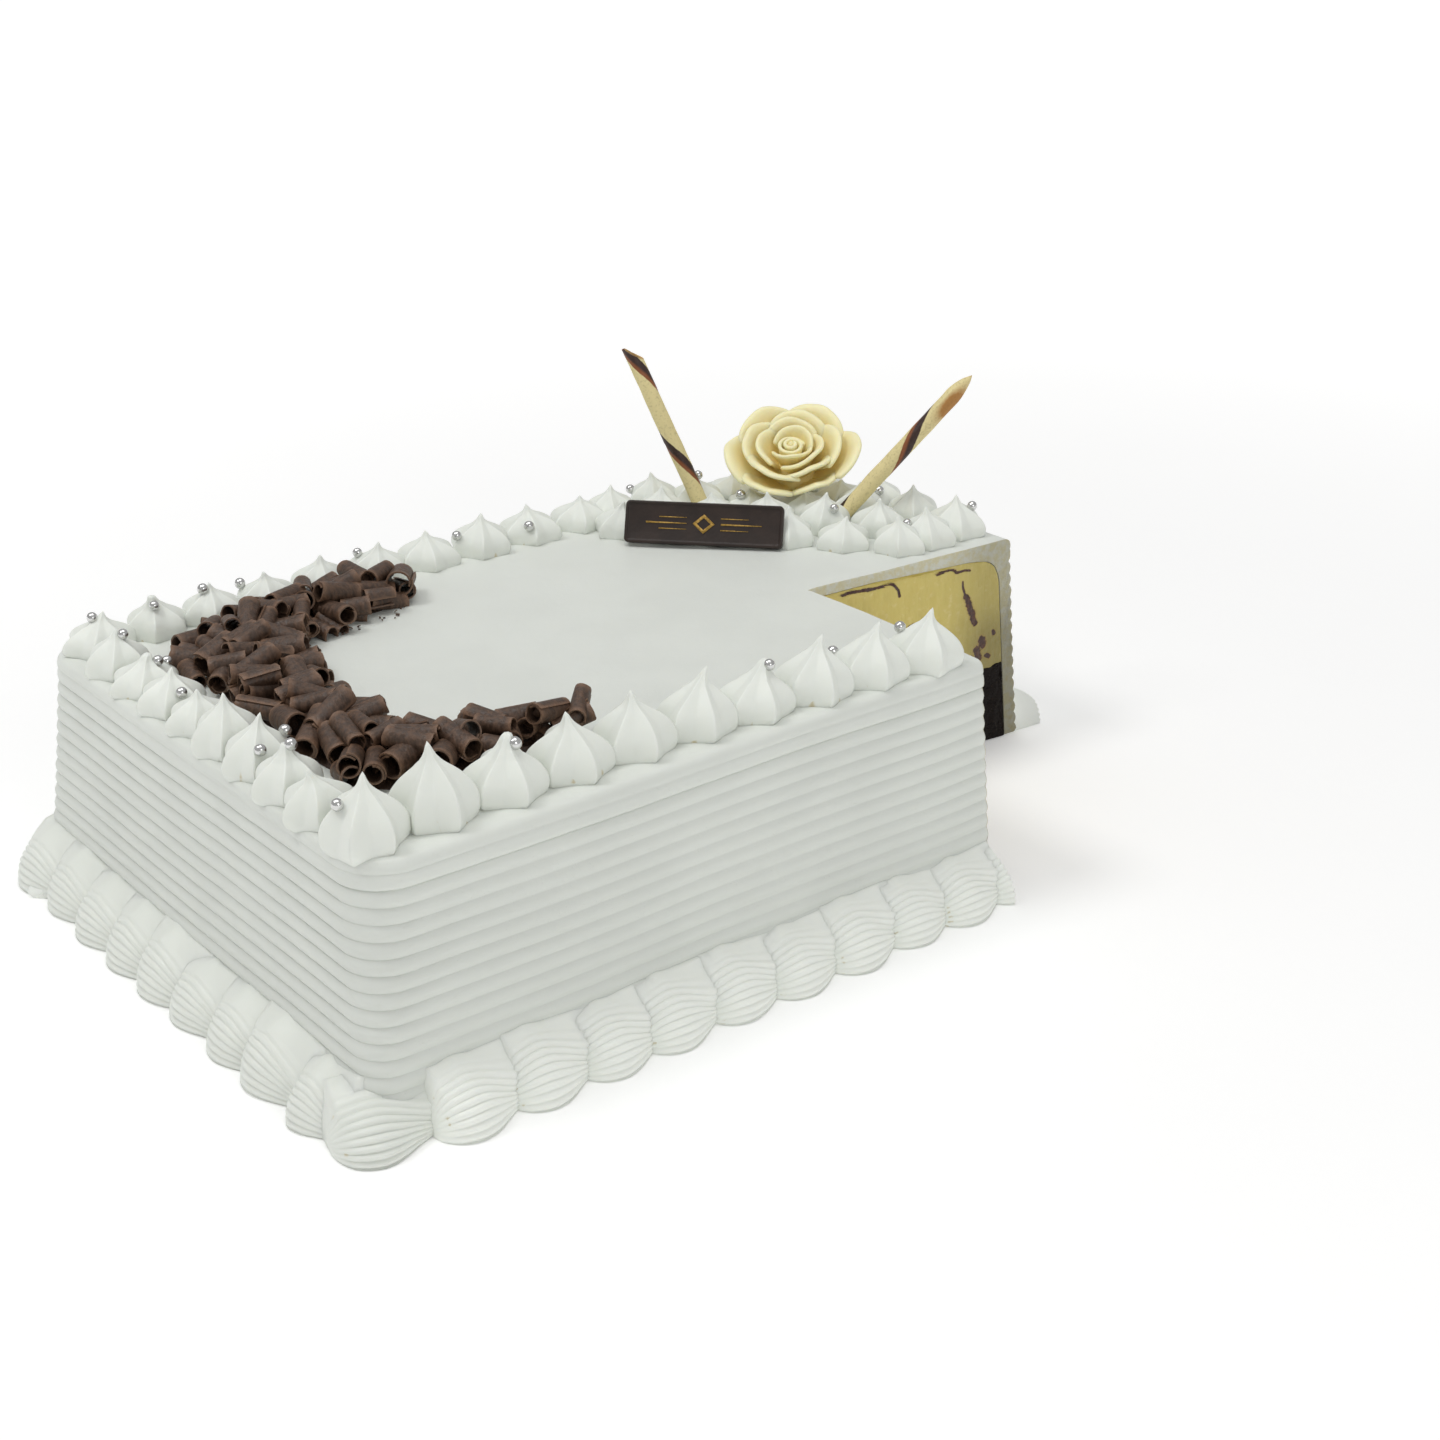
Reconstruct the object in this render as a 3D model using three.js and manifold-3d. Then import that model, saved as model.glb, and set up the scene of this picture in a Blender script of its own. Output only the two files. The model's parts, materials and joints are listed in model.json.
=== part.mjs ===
// A rectangular ice cream sheet cake with one corner portion cut out.
// Dark sponge carries pale ice cream under combed white icing. Piped shells run round the foot,
// piped stars round the top, with chocolate curls, a plaque, two wafers and a moulded rose.
// Units are millimetres. Z is up and the cake stands on Z = 0. The origin is the middle of the
// whole rectangle's footprint, X runs along the long side and the cut corner is at +X, -Y.

import * as THREE from 'three';
import { mergeVertices } from 'three/addons/utils/BufferGeometryUtils.js';
import Module from 'manifold-3d';

const wasm = await Module();
wasm.setup();

// Whole cake
const LENGTH = 326;
const WIDTH = 210;
const HEIGHT = 82;
// How far the walls spread towards the foot, from the height where they turn upright
const LEAN = 7.5;
const UPRIGHT = 77.7;
const CORNER_TOP = 15;
const CORNER_FOOT = 8;
const CORNER_STEPS = 3;
const GAP = 0.3;

// Comb ridges in the icing, and the smooth rim above them as heights with the offset there
const COMB_TOP = 72.8;
const COMB_PITCH = 4.9;
const COMB_RIDGES = 15;
const COMB_DEPTH = 1.3;
const RIM = [[74.8, 1.3], [81, 0.9], [82, -1.4]];
const ICING_FOOT = 0.6;

// Layers seen at the cut
const SPONGE_TOP = 32;
const ICING_SIDE = 5;
// The filling's shoulder, and above it heights with how far the filling draws in there
const CORE_SHOULDER = 66;
const CORE_CROWN = [[72, 1.8], [75, 6], [76.4, 16], [78.4, 60]];

// The cut corner: its inner corner, and the far end of its long face
const CUT_X = 68.7;
const CUT_INNER_Y = -18.8;
const CUT_OUTER_Y = -25.1;

// Piped stars
const STAR_LOBES = 6;
const STAR_GROOVE = 0.22;
// The turn of the nozzle at the near left corner, along the front and along the left side
const CORNER_TURN = 0.73;
const FRONT_TURN = 0.56;
const LEFT_TURN = -0.07;
// Parts of a star's height, each with the part of its radius there
const STAR_PROFILE = [[0, 1], [0.36, 0.92], [0.74, 0.27]];
// Heights of stars with the lean of their tips along X: from the near left corner to the cut,
// and from the far left corner towards the near one
const FRONT_TIPS = [
  [21, 1], [23.8, -1.1], [18.3, 2.3], [18.8, -0.9], [19.5, -0.7], [19.9, 4.8], [16.5, 4.4],
  [19.4, 4.3], [18.5, 4.8], [18.3, 3.8],
];
const LEFT_TIPS = [
  [12.8, 2.3], [14.8, 0.7], [11.7, 2.2], [13.3, 1.3], [12.7, -0.4], [17.8, 0.1], [17.7, 2.3],
  [15.6, 0.2], [15.4, -3.4],
];
const BALL_RADIUS = 1.9;

// Piped shells round the foot
const SHELL_PITCH = 23.4;
const SHELL_CORNER_INSET = 4.5;
const SHELL_HEIGHT = 19;
const SHELL_REACH = 16;
const SHELL_SIDES = 4;
const SHELL_STATIONS = [[-0.5, 0.55], [-0.26, 0.97], [0.26, 0.85], [0.72, 0.36]];

// Chocolate curls
const CURL_COUNT = 41;
const CURL_RADIUS = 3.2;
const CURL_LENGTH = 12.5;
const CURL_SPACING = 8.4;
const CURL_SIDES = 5;
const CURL_TRIES = 6000;
const HEAP_CORE = 4.5;
// How high the lowest curls lie, and how much higher those in the middle of the heap may lie
const HEAP_BED = 3.4;
const HEAP_DOME = 5.6;
// The middle line of the heap, each point with half the heap's width there
const HEAP_LINE = [
  [-68, -73, 4], [-82, -69, 7], [-100, -65, 12], [-124, -60, 17], [-128, -28, 15],
  [-127, 5, 14], [-123, 36, 18], [-110, 62, 17], [-82, 69, 13], [-60, 71, 13], [-46, 74, 6],
];

// Plaque
const PLAQUE_LENGTH = 60;
const PLAQUE_HEIGHT = 16;
const PLAQUE_THICK = 3;
const PLAQUE_CORNER = 1.6;
const PLAQUE_RIM = 1.6;
const PLAQUE_FIELD_DEPTH = 0.7;
const PLAQUE_MIDDLE = [67.2, 40.3];
const PLAQUE_LEAN = 27 * Math.PI / 180;

// Rolled wafers, each from its foot in the stars to its tip
const WAFER_RADIUS = 3.2;
const WAFER_LEFT = { foot: [93.9, 75.4, 86.5], tip: [80.1, 100.7, 145.8] };
const WAFER_RIGHT = { foot: [128.7, 29.2, 86.5], tip: [167.3, 1.6, 139] };

// Moulded rose
const ROSE_FOOT = [134, 65.5, 88];
const ROSE_TILT = 25 * Math.PI / 180;
const ROSE_RADIUS = 25;
const ROSE_HEIGHT = 23;
// Radii and heights of the hub, a cup below and a closed bud above
const ROSE_HUB = [[0, 0], [6, 0], [11, 4], [9, 8], [5.4, 14], [5, 19], [2.4, 22], [0, 22]];
const PETAL_THICK = 1.3;

// The direction along the floor in which the plaque and the rose face
const FRONT = new THREE.Vector3(-0.745, -0.667, 0);

// A repeatable draw between -1 and 1
function drawer(seed) {
  let state = seed;
  return () => {
    state = (Math.imul(state, 1664525) + 1013904223) >>> 0;
    return state / 2147483648 - 1;
  };
}

// Solids and meshes

function solid(geometry) {
  const bare = geometry.index ? geometry.toNonIndexed() : geometry.clone();
  bare.deleteAttribute('normal');
  bare.deleteAttribute('uv');
  const merged = mergeVertices(bare, 1e-4);
  const mesh = new wasm.Mesh({
    numProp: 3,
    vertProperties: new Float32Array(merged.attributes.position.array),
    triVerts: new Uint32Array(merged.index.array),
  });
  return new wasm.Manifold(mesh);
}

function toGeometry(body) {
  const mesh = body.getMesh();
  const geometry = new THREE.BufferGeometry();
  geometry.setAttribute('position', new THREE.BufferAttribute(mesh.vertProperties, 3));
  geometry.setIndex(new THREE.BufferAttribute(mesh.triVerts, 1));
  return geometry;
}

function joined(bodies) {
  return bodies.reduce((whole, body) => whole.add(body));
}

function largest(body) {
  const pieces = body.decompose();
  return pieces.reduce((best, piece) => (piece.volume() > best.volume() ? piece : best));
}

function makeMesh(name, body, colour, roughness) {
  const material = new THREE.MeshStandardMaterial({ color: colour, roughness, metalness: 0 });
  const mesh = new THREE.Mesh(toGeometry(body), material);
  mesh.name = name;
  return mesh;
}

// A closed skin through rings of equal point counts, with flat ends; an end may be one point
function loft(rings) {
  const positions = [];
  const triangle = (a, b, c) => positions.push(...a, ...b, ...c);
  const count = rings[0].length;
  for (let level = 0; level + 1 < rings.length; level += 1) {
    const low = rings[level];
    const high = rings[level + 1];
    for (let i = 0; i < count; i += 1) {
      const j = (i + 1) % count;
      if (high.length === 1) {
        triangle(low[i], low[j], high[0]);
      } else {
        triangle(low[i], low[j], high[j]);
        triangle(low[i], high[j], high[i]);
      }
    }
  }
  capEnd(rings[0], triangle, true);
  const last = rings[rings.length - 1];
  if (last.length > 1) {
    capEnd(last, triangle, false);
  }
  const geometry = new THREE.BufferGeometry();
  geometry.setAttribute('position', new THREE.Float32BufferAttribute(positions, 3));
  return solid(geometry);
}

function capEnd(ring, triangle, flip) {
  for (let i = 1; i + 1 < ring.length; i += 1) {
    if (flip) {
      triangle(ring[0], ring[i + 1], ring[i]);
    } else {
      triangle(ring[0], ring[i], ring[i + 1]);
    }
  }
}

// The cake's rectangle

function leanAt(z) {
  return LEAN * (UPRIGHT - Math.min(z, UPRIGHT)) / UPRIGHT;
}

// The rounded rectangle at height z, moved outwards by offset
function outline(z, offset) {
  const halfX = LENGTH / 2 + leanAt(z) + offset;
  const halfY = WIDTH / 2 + leanAt(z) + offset;
  const plain = CORNER_FOOT + (CORNER_TOP - CORNER_FOOT) * Math.min(z, HEIGHT) / HEIGHT;
  const radius = Math.max(plain + offset, 3);
  const points = [];
  for (let corner = 0; corner < 4; corner += 1) {
    const signX = corner === 0 || corner === 3 ? 1 : -1;
    const signY = corner < 2 ? 1 : -1;
    for (let step = 0; step <= CORNER_STEPS; step += 1) {
      const angle = (corner + step / CORNER_STEPS) * Math.PI / 2;
      const x = signX * (halfX - radius) + radius * Math.cos(angle);
      const y = signY * (halfY - radius) + radius * Math.sin(angle);
      points.push([x, y, z]);
    }
  }
  return points;
}

function makeOuter() {
  const rings = [outline(ICING_FOOT, 0)];
  for (let ridge = COMB_RIDGES - 1; ridge >= 0; ridge -= 1) {
    const groove = COMB_TOP - COMB_PITCH * ridge;
    const crest = groove - COMB_PITCH / 2;
    rings.push(outline(crest, COMB_DEPTH));
    rings.push(outline(groove, 0));
  }
  RIM.forEach(([z, offset]) => rings.push(outline(z, offset)));
  return loft(rings);
}

// The filled core inside the icing, shrunk by a clearance, its top crowned and round-edged
function makeCore(bottom, top, clearance) {
  const side = -(ICING_SIDE + clearance);
  const rings = [outline(bottom, side), outline(Math.min(top, CORE_SHOULDER), side)];
  if (top > CORE_SHOULDER) {
    CORE_CROWN.forEach(([z, inwards]) => rings.push(outline(z - clearance, side - inwards)));
  }
  return loft(rings);
}

// Everything that went with the cut portion
function makeCutaway() {
  const far = LENGTH;
  const slope = (CUT_OUTER_Y - CUT_INNER_Y) / (LENGTH / 2 - CUT_X);
  const farY = CUT_INNER_Y + slope * (far - CUT_X);
  const shape = new THREE.Shape([
    new THREE.Vector2(CUT_X, CUT_INNER_Y),
    new THREE.Vector2(CUT_X, -WIDTH),
    new THREE.Vector2(far, -WIDTH),
    new THREE.Vector2(far, farY),
  ]);
  const block = new THREE.ExtrudeGeometry(shape, { depth: 2 * HEIGHT, bevelEnabled: false });
  block.translate(0, 0, -10);
  return solid(block);
}

// Piped stars

function star(x, y, radius, height, turn, leanX = 0, leanY = 0) {
  return { x, y, radius, height, turn, leanX, leanY };
}

// The reach of a star's lobes and grooves, which are shallow where its foot spreads
function starRadius(item, part, level, angle) {
  const wave = Math.abs(Math.cos(STAR_LOBES / 2 * (angle - item.turn)));
  const groove = STAR_GROOVE * Math.min(1, 0.3 + 3 * part);
  return item.radius * level * (1 - groove * (1 - wave));
}

function starSolid(item, grow = 0) {
  const rings = STAR_PROFILE.map(([part, level]) => {
    const z = HEIGHT + GAP + part * item.height;
    const ring = [];
    for (let i = 0; i < 2 * STAR_LOBES; i += 1) {
      const angle = item.turn + i * Math.PI / STAR_LOBES;
      const reach = starRadius(item, part, level, angle) + grow;
      const bend = part ** 3;
      const x = item.x + reach * Math.cos(angle) + item.leanX * bend;
      const y = item.y + reach * Math.sin(angle) + item.leanY * bend;
      ring.push([x, y, z]);
    }
    return ring;
  });
  if (grow > 0) {
    rings.unshift(rings[0].map(([x, y, z]) => [x, y, z - 1]));
  }
  const tip = HEIGHT + GAP + item.height + grow;
  rings.push([[item.x + item.leanX, item.y + item.leanY, tip]]);
  return loft(rings);
}

// The middle of a silver sugar ball on a star, at a compass angle and a part of the star's height
function ballPlace(item, degrees, part) {
  const angle = degrees * Math.PI / 180;
  const levels = [...STAR_PROFILE, [1, 0]];
  const above = levels.findIndex(([level]) => level > part);
  const [low, high] = [levels[above - 1], levels[above]];
  const level = low[1] + (high[1] - low[1]) * (part - low[0]) / (high[0] - low[0]);
  const reach = starRadius(item, part, level, angle) + BALL_RADIUS * 0.45;
  const bend = part ** 3;
  return new THREE.Vector3(
    item.x + reach * Math.cos(angle) + item.leanX * bend,
    item.y + reach * Math.sin(angle) + item.leanY * bend,
    HEIGHT + GAP + part * item.height + BALL_RADIUS * 0.3,
  );
}

function ballSolid(place) {
  const ball = new THREE.IcosahedronGeometry(BALL_RADIUS, 0);
  ball.translate(place.x, place.y, place.z);
  return solid(ball);
}

function joinRow({ stars, balls }) {
  return joined([...stars.map((item) => starSolid(item)), ...balls.map(ballSolid)]);
}

// Ten stars from the near left corner to the cut
function frontStars() {
  const draw = drawer(11);
  const stars = [star(-154.6, -91, 13.2, FRONT_TIPS[0][0], CORNER_TURN, FRONT_TIPS[0][1])];
  FRONT_TIPS.slice(1).forEach(([height, lean], i) => {
    const x = -131.5 + 23.9 * i - 0.117 * i * i;
    const y = -90.2 + 1.1 * i - 0.21 * i * i;
    const radius = 13.4 + 0.2 * draw();
    const turn = FRONT_TURN - 0.04 * i + 0.04 * draw();
    stars.push(star(x, y, radius, height, turn, lean));
  });
  return stars;
}

// Nine stars from the far left corner towards the near one
function leftStars() {
  const draw = drawer(23);
  const stars = [star(-149, 91.5, 13.4, LEFT_TIPS[0][0], LEFT_TURN, LEFT_TIPS[0][1])];
  LEFT_TIPS.slice(1).forEach(([height, lean], i) => {
    const x = -152.6 - 0.06 * i * i + 0.3 * draw();
    const y = 69.5 - 19.7 * i;
    const radius = 11.7 + 0.3 * draw();
    const turn = LEFT_TURN + 0.08 * draw();
    stars.push(star(x, y, radius, height, turn, lean));
  });
  return stars;
}

// Nine stars along the back, spreading slightly as they go
function backStars() {
  const draw = drawer(37);
  const stars = [];
  for (let i = 0; i < 9; i += 1) {
    const x = -127.5 + 21 * i + 0.14 * i * i;
    const y = 93.6 + 0.7 * draw();
    const height = 13.5 + 1.5 * draw();
    const turn = 0.1 + 0.1 * draw();
    stars.push(star(x, y, 11.9 + 0.1 * i, height, turn, 1.5 * draw(), draw()));
  }
  return stars;
}

// Rows of stars that fill the far right corner, side by side with the plaque's line
const FIELD_START = [56.2, 75.8];
const FIELD_ALONG = [0.629, -0.777];
const FIELD_PITCH = 21.4;
const FIELD_ROW = 18.8;
const FIELD_LIMIT = [152.6, 93.6];
// Two stars side by side near the cut's outer end stand in for this one of the rows
const FIELD_PAIR_AT = 12;

function fieldStars() {
  const draw = drawer(79);
  const across = [-FIELD_ALONG[1], FIELD_ALONG[0]];
  const stars = [];
  for (let row = 0; row < 5; row += 1) {
    const shift = row % 2 === 1 ? -0.5 : 0;
    for (let k = 0; k < 8; k += 1) {
      const along = FIELD_PITCH * (k + shift);
      const x = FIELD_START[0] + FIELD_ALONG[0] * along + across[0] * FIELD_ROW * row;
      const y = FIELD_START[1] + FIELD_ALONG[1] * along + across[1] * FIELD_ROW * row;
      addFieldStar(stars, x, y, draw);
    }
  }
  const pair = [star(136.5, -8.5, 11.8, 14, -0.1, -0.5, 0.5), star(152.6, -7, 12, 14.5, -0.1, 1, 1)];
  stars.splice(FIELD_PAIR_AT, 1, ...pair);
  return stars;
}

// Stars near the edges are drawn in, those under the rose are left out or kept low
function addFieldStar(stars, x, y, draw) {
  const cutEdge = CUT_INNER_Y + (CUT_OUTER_Y - CUT_INNER_Y) * (x - CUT_X) / (LENGTH / 2 - CUT_X);
  const size = 11.5 + 0.3 * draw();
  const height = 13 + 1.5 * draw();
  const turn = -0.15 + 0.25 * draw();
  const leanX = 1.5 * draw();
  const leanY = 1.5 * draw();
  const placedX = Math.min(x, FIELD_LIMIT[0]);
  const placedY = Math.min(Math.max(y, cutEdge + 11.6), FIELD_LIMIT[1]);
  if (Math.hypot(placedX - x, placedY - y) > 9) {
    return;
  }
  if (stars.some((other) => Math.hypot(other.x - placedX, other.y - placedY) < 13)) {
    return;
  }
  const away = Math.hypot(placedX - ROSE_FOOT[0], placedY - ROSE_FOOT[1]);
  if (away < 17) {
    return;
  }
  const tall = away < 27 ? height * 0.62 : height;
  stars.push(star(placedX, placedY, size, tall, turn, leanX, leanY));
}

// Piped shells round the foot

// One shell: a fat ribbed head that tapers to a tail, lying along a wall
function shellSolid(x, y, heading, size) {
  const outX = Math.sin(heading);
  const outY = -Math.cos(heading);
  const rings = SHELL_STATIONS.map(([along, swell]) => {
    const ring = [];
    const forward = along * SHELL_PITCH * 1.15;
    const tall = SHELL_HEIGHT * swell * size;
    const reach = SHELL_REACH * swell * size;
    for (let i = 0; i <= SHELL_SIDES; i += 1) {
      const angle = i / SHELL_SIDES * Math.PI / 2 * 1.22;
      const rib = 1 - 0.07 * (i % 2);
      const out = Math.max(reach * Math.sin(angle) * rib, 0);
      const z = Math.max(tall * Math.cos(angle) * rib, 0);
      ring.push([forward, out, z]);
    }
    ring[SHELL_SIDES][2] = 0;
    ring.push([forward, 0, 0]);
    return ring.map(([s, n, z]) => [
      x + s * Math.cos(heading) + n * outX,
      y + s * Math.sin(heading) + n * outY,
      z,
    ]);
  });
  return loft(rings);
}

// Shells along a straight wall, each pushed on along it, with a shell turned round the far corner
function shellRow(start, heading, count, pitch, seed, corner) {
  const draw = drawer(seed);
  const bodies = [];
  for (let i = 0; i < count; i += 1) {
    const along = i * pitch + draw();
    const x = start[0] + along * Math.cos(heading);
    const y = start[1] + along * Math.sin(heading);
    bodies.push(shellSolid(x, y, heading, 1 + 0.07 * draw()));
  }
  if (corner) {
    bodies.push(shellSolid(corner[0], corner[1], heading + Math.PI / 4, 1.12));
  }
  return joined(bodies);
}

// A block that keeps one row clear of the next
function blockBetween(low, high) {
  const size = high.map((value, axis) => value - low[axis]);
  const block = new THREE.BoxGeometry(...size);
  block.translate(...low.map((value, axis) => value + size[axis] / 2));
  return solid(block);
}

const WALL_X = LENGTH / 2 + LEAN + COMB_DEPTH + GAP;
const WALL_Y = WIDTH / 2 + LEAN + COMB_DEPTH + GAP;

// A plain block round the icing's wall, a gap larger than its ridges
function makeWallRoom() {
  const grow = COMB_DEPTH + GAP;
  const foot = outline(0, grow);
  const below = foot.map(([x, y, z]) => [x, y, z - 1]);
  return loft([below, foot, outline(HEIGHT, grow)]);
}

function makeShells(cutaway) {
  const turnX = WALL_X - SHELL_CORNER_INSET;
  const turnY = WALL_Y - SHELL_CORNER_INSET;
  const rows = {
    left: shellRow([-WALL_X, 93], -Math.PI / 2, 9, 23.2, 71, [-turnX, -turnY]),
    front: shellRow([-147, -WALL_Y], 0, 10, 22.9, 83, null),
    right: shellRow([WALL_X, -18], Math.PI / 2, 6, 21.4, 97, [turnX, turnY]),
    back: shellRow([150, WALL_Y], Math.PI, 14, 22.7, 101, [-turnX, turnY]),
  };
  const far = 300;
  const frontFrom = -160;
  const leftFrom = 104;
  const backFrom = 163;
  const keep = {
    left: blockBetween([-far, -far, -1], [frontFrom - GAP, leftFrom, 99]),
    front: blockBetween([frontFrom, -far, -1], [far, 0, 99]),
    right: blockBetween([backFrom + GAP, -far, -1], [far, far, 99]),
    back: blockBetween([-far, leftFrom + GAP, -1], [backFrom, far, 99]),
  };
  const away = cutaway.add(makeWallRoom());
  return Object.fromEntries(Object.entries(rows).map(([side, body]) => (
    [side, largest(body.intersect(keep[side]).subtract(away))]
  )));
}

// Chocolate curls

// The point at a part of the heap's line, with the heading and half width there
function heapAt(part) {
  const place = part * (HEAP_LINE.length - 1);
  const index = Math.min(Math.floor(place), HEAP_LINE.length - 2);
  const mix = place - index;
  const [a, b] = [HEAP_LINE[index], HEAP_LINE[index + 1]];
  const at = a.map((value, axis) => value + (b[axis] - value) * mix);
  return { x: at[0], y: at[1], half: at[2], heading: Math.atan2(b[1] - a[1], b[0] - a[0]) };
}

// Whether a curl, tested at its ends and middle, is clear of the stars and the sugar balls
function isClear(place, stars, balls) {
  return [-1, 0, 1].every((end) => {
    const half = end * place.length / 2;
    const x = place.x + half * Math.cos(place.yaw) * Math.cos(place.pitch);
    const y = place.y + half * Math.sin(place.yaw) * Math.cos(place.pitch);
    const z = place.z - half * Math.sin(place.pitch);
    const reach = place.radius + 0.6;
    const level = (z - reach - HEIGHT) / 16;
    const swell = level < 0.3 ? 1 : Math.max(1 - 1.4 * (level - 0.3), 0.1);
    return stars.every((item) => Math.hypot(item.x - x, item.y - y) > item.radius * swell + reach)
      && balls.every((ball) => ball.distanceTo(new THREE.Vector3(x, y, z)) > BALL_RADIUS + reach);
  });
}

function curlPlaces(stars, balls) {
  const draw = drawer(131);
  const places = [];
  let tries = 0;
  while (places.length < CURL_COUNT && tries < CURL_TRIES) {
    tries += 1;
    const at = heapAt((draw() + 1) / 2);
    const side = draw() * at.half;
    const place = {
      x: at.x - side * Math.sin(at.heading),
      y: at.y + side * Math.cos(at.heading),
      yaw: draw() * Math.PI,
      pitch: draw() * 0.3,
      lift: (draw() + 1) / 2,
      radius: CURL_RADIUS * (1 + 0.14 * draw()),
      length: CURL_LENGTH * (1 + 0.28 * draw()),
    };
    const middle = 1 - Math.abs(side) / (at.half + 4);
    place.z = HEIGHT + GAP + HEAP_BED + HEAP_DOME * place.lift * middle;
    const near = places.some((other) => (
      Math.hypot(other.x - place.x, other.y - place.y, 1.4 * (other.z - place.z)) < CURL_SPACING
    ));
    if (!near && isClear(place, stars, balls)) {
      places.push(place);
    }
  }
  return places;
}

function curlSolid(place) {
  const roll = new THREE.CylinderGeometry(place.radius, place.radius, place.length, CURL_SIDES);
  roll.rotateZ(Math.PI / 2);
  roll.rotateY(place.pitch);
  roll.rotateZ(place.yaw);
  roll.translate(place.x, place.y, place.z);
  return solid(roll);
}

function makeHeapCore() {
  const left = [];
  const right = [];
  HEAP_LINE.forEach((point, index) => {
    const at = heapAt(index / (HEAP_LINE.length - 1));
    const half = point[2] - 1.5;
    const x = half * Math.sin(at.heading);
    const y = half * Math.cos(at.heading);
    left.push(new THREE.Vector2(point[0] - x, point[1] + y));
    right.unshift(new THREE.Vector2(point[0] + x, point[1] - y));
  });
  const shape = new THREE.Shape([...right, ...left]);
  const slab = new THREE.ExtrudeGeometry(shape, { depth: HEAP_CORE, bevelEnabled: false });
  slab.translate(0, 0, HEIGHT + GAP);
  return solid(slab);
}

function makeCurls(stars, balls) {
  const underIcing = blockBetween([-300, -300, 0], [300, 300, HEIGHT + GAP]);
  let core = makeHeapCore();
  stars.forEach((item) => {
    core = core.subtract(starSolid(item, GAP));
  });
  const curls = curlPlaces(stars, balls).map(curlSolid);
  return largest(joined([core, ...curls]).subtract(underIcing));
}

// Plaque, wafers and rose

function plaqueShape(inset) {
  const halfX = PLAQUE_LENGTH / 2 - inset;
  const low = inset;
  const high = PLAQUE_HEIGHT - inset;
  const corner = PLAQUE_CORNER;
  const shape = new THREE.Shape();
  shape.moveTo(-halfX + corner, low);
  shape.lineTo(halfX - corner, low);
  shape.absarc(halfX - corner, low + corner, corner, -Math.PI / 2, 0);
  shape.lineTo(halfX, high - corner);
  shape.absarc(halfX - corner, high - corner, corner, 0, Math.PI / 2);
  shape.lineTo(-halfX + corner, high);
  shape.absarc(-halfX + corner, high - corner, corner, Math.PI / 2, Math.PI);
  shape.lineTo(-halfX, low + corner);
  shape.absarc(-halfX + corner, low + corner, corner, Math.PI, Math.PI * 1.5);
  return shape;
}

function plate(inset, depth, from) {
  const options = { depth, bevelEnabled: false, curveSegments: 1 };
  const geometry = new THREE.ExtrudeGeometry(plaqueShape(inset), options);
  geometry.translate(0, 0, from);
  return geometry;
}

// The plaque is drawn upright, then leaned back and turned to face the front
function placePlaque(geometry) {
  geometry.rotateX(Math.PI / 2 - PLAQUE_LEAN);
  geometry.rotateZ(Math.atan2(FRONT.y, FRONT.x) + Math.PI / 2);
  const lift = PLAQUE_THICK * Math.sin(PLAQUE_LEAN);
  geometry.translate(PLAQUE_MIDDLE[0], PLAQUE_MIDDLE[1], HEIGHT + GAP + lift);
  return geometry;
}

function makePlaque() {
  const body = solid(placePlaque(plate(0, PLAQUE_THICK, -PLAQUE_THICK)));
  const field = placePlaque(plate(PLAQUE_RIM, 2, -PLAQUE_FIELD_DEPTH));
  return body.subtract(solid(field));
}

function waferSolid({ foot, tip }, grow, cutTip) {
  const from = new THREE.Vector3(...foot);
  const to = new THREE.Vector3(...tip);
  const length = from.distanceTo(to) + 2 * grow;
  const radius = WAFER_RADIUS + grow;
  const tube = new THREE.CylinderGeometry(radius, radius, length, 12);
  const body = solid(placeAlong(tube, from, to));
  if (!cutTip) {
    return body;
  }
  const wedge = new THREE.BoxGeometry(20, 20, 20);
  wedge.translate(0, 10, 0);
  wedge.rotateZ(0.95);
  wedge.translate(0, length / 2 - 4.5, 0);
  return body.subtract(solid(placeAlong(wedge, from, to)));
}

// Turns a shape drawn along Y so that it runs between two points
function placeAlong(geometry, from, to) {
  const heading = new THREE.Vector3().subVectors(to, from).normalize();
  const turn = new THREE.Quaternion().setFromUnitVectors(new THREE.Vector3(0, 1, 0), heading);
  geometry.applyQuaternion(turn);
  geometry.translate((from.x + to.x) / 2, (from.y + to.y) / 2, (from.z + to.z) / 2);
  return geometry;
}

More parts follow.
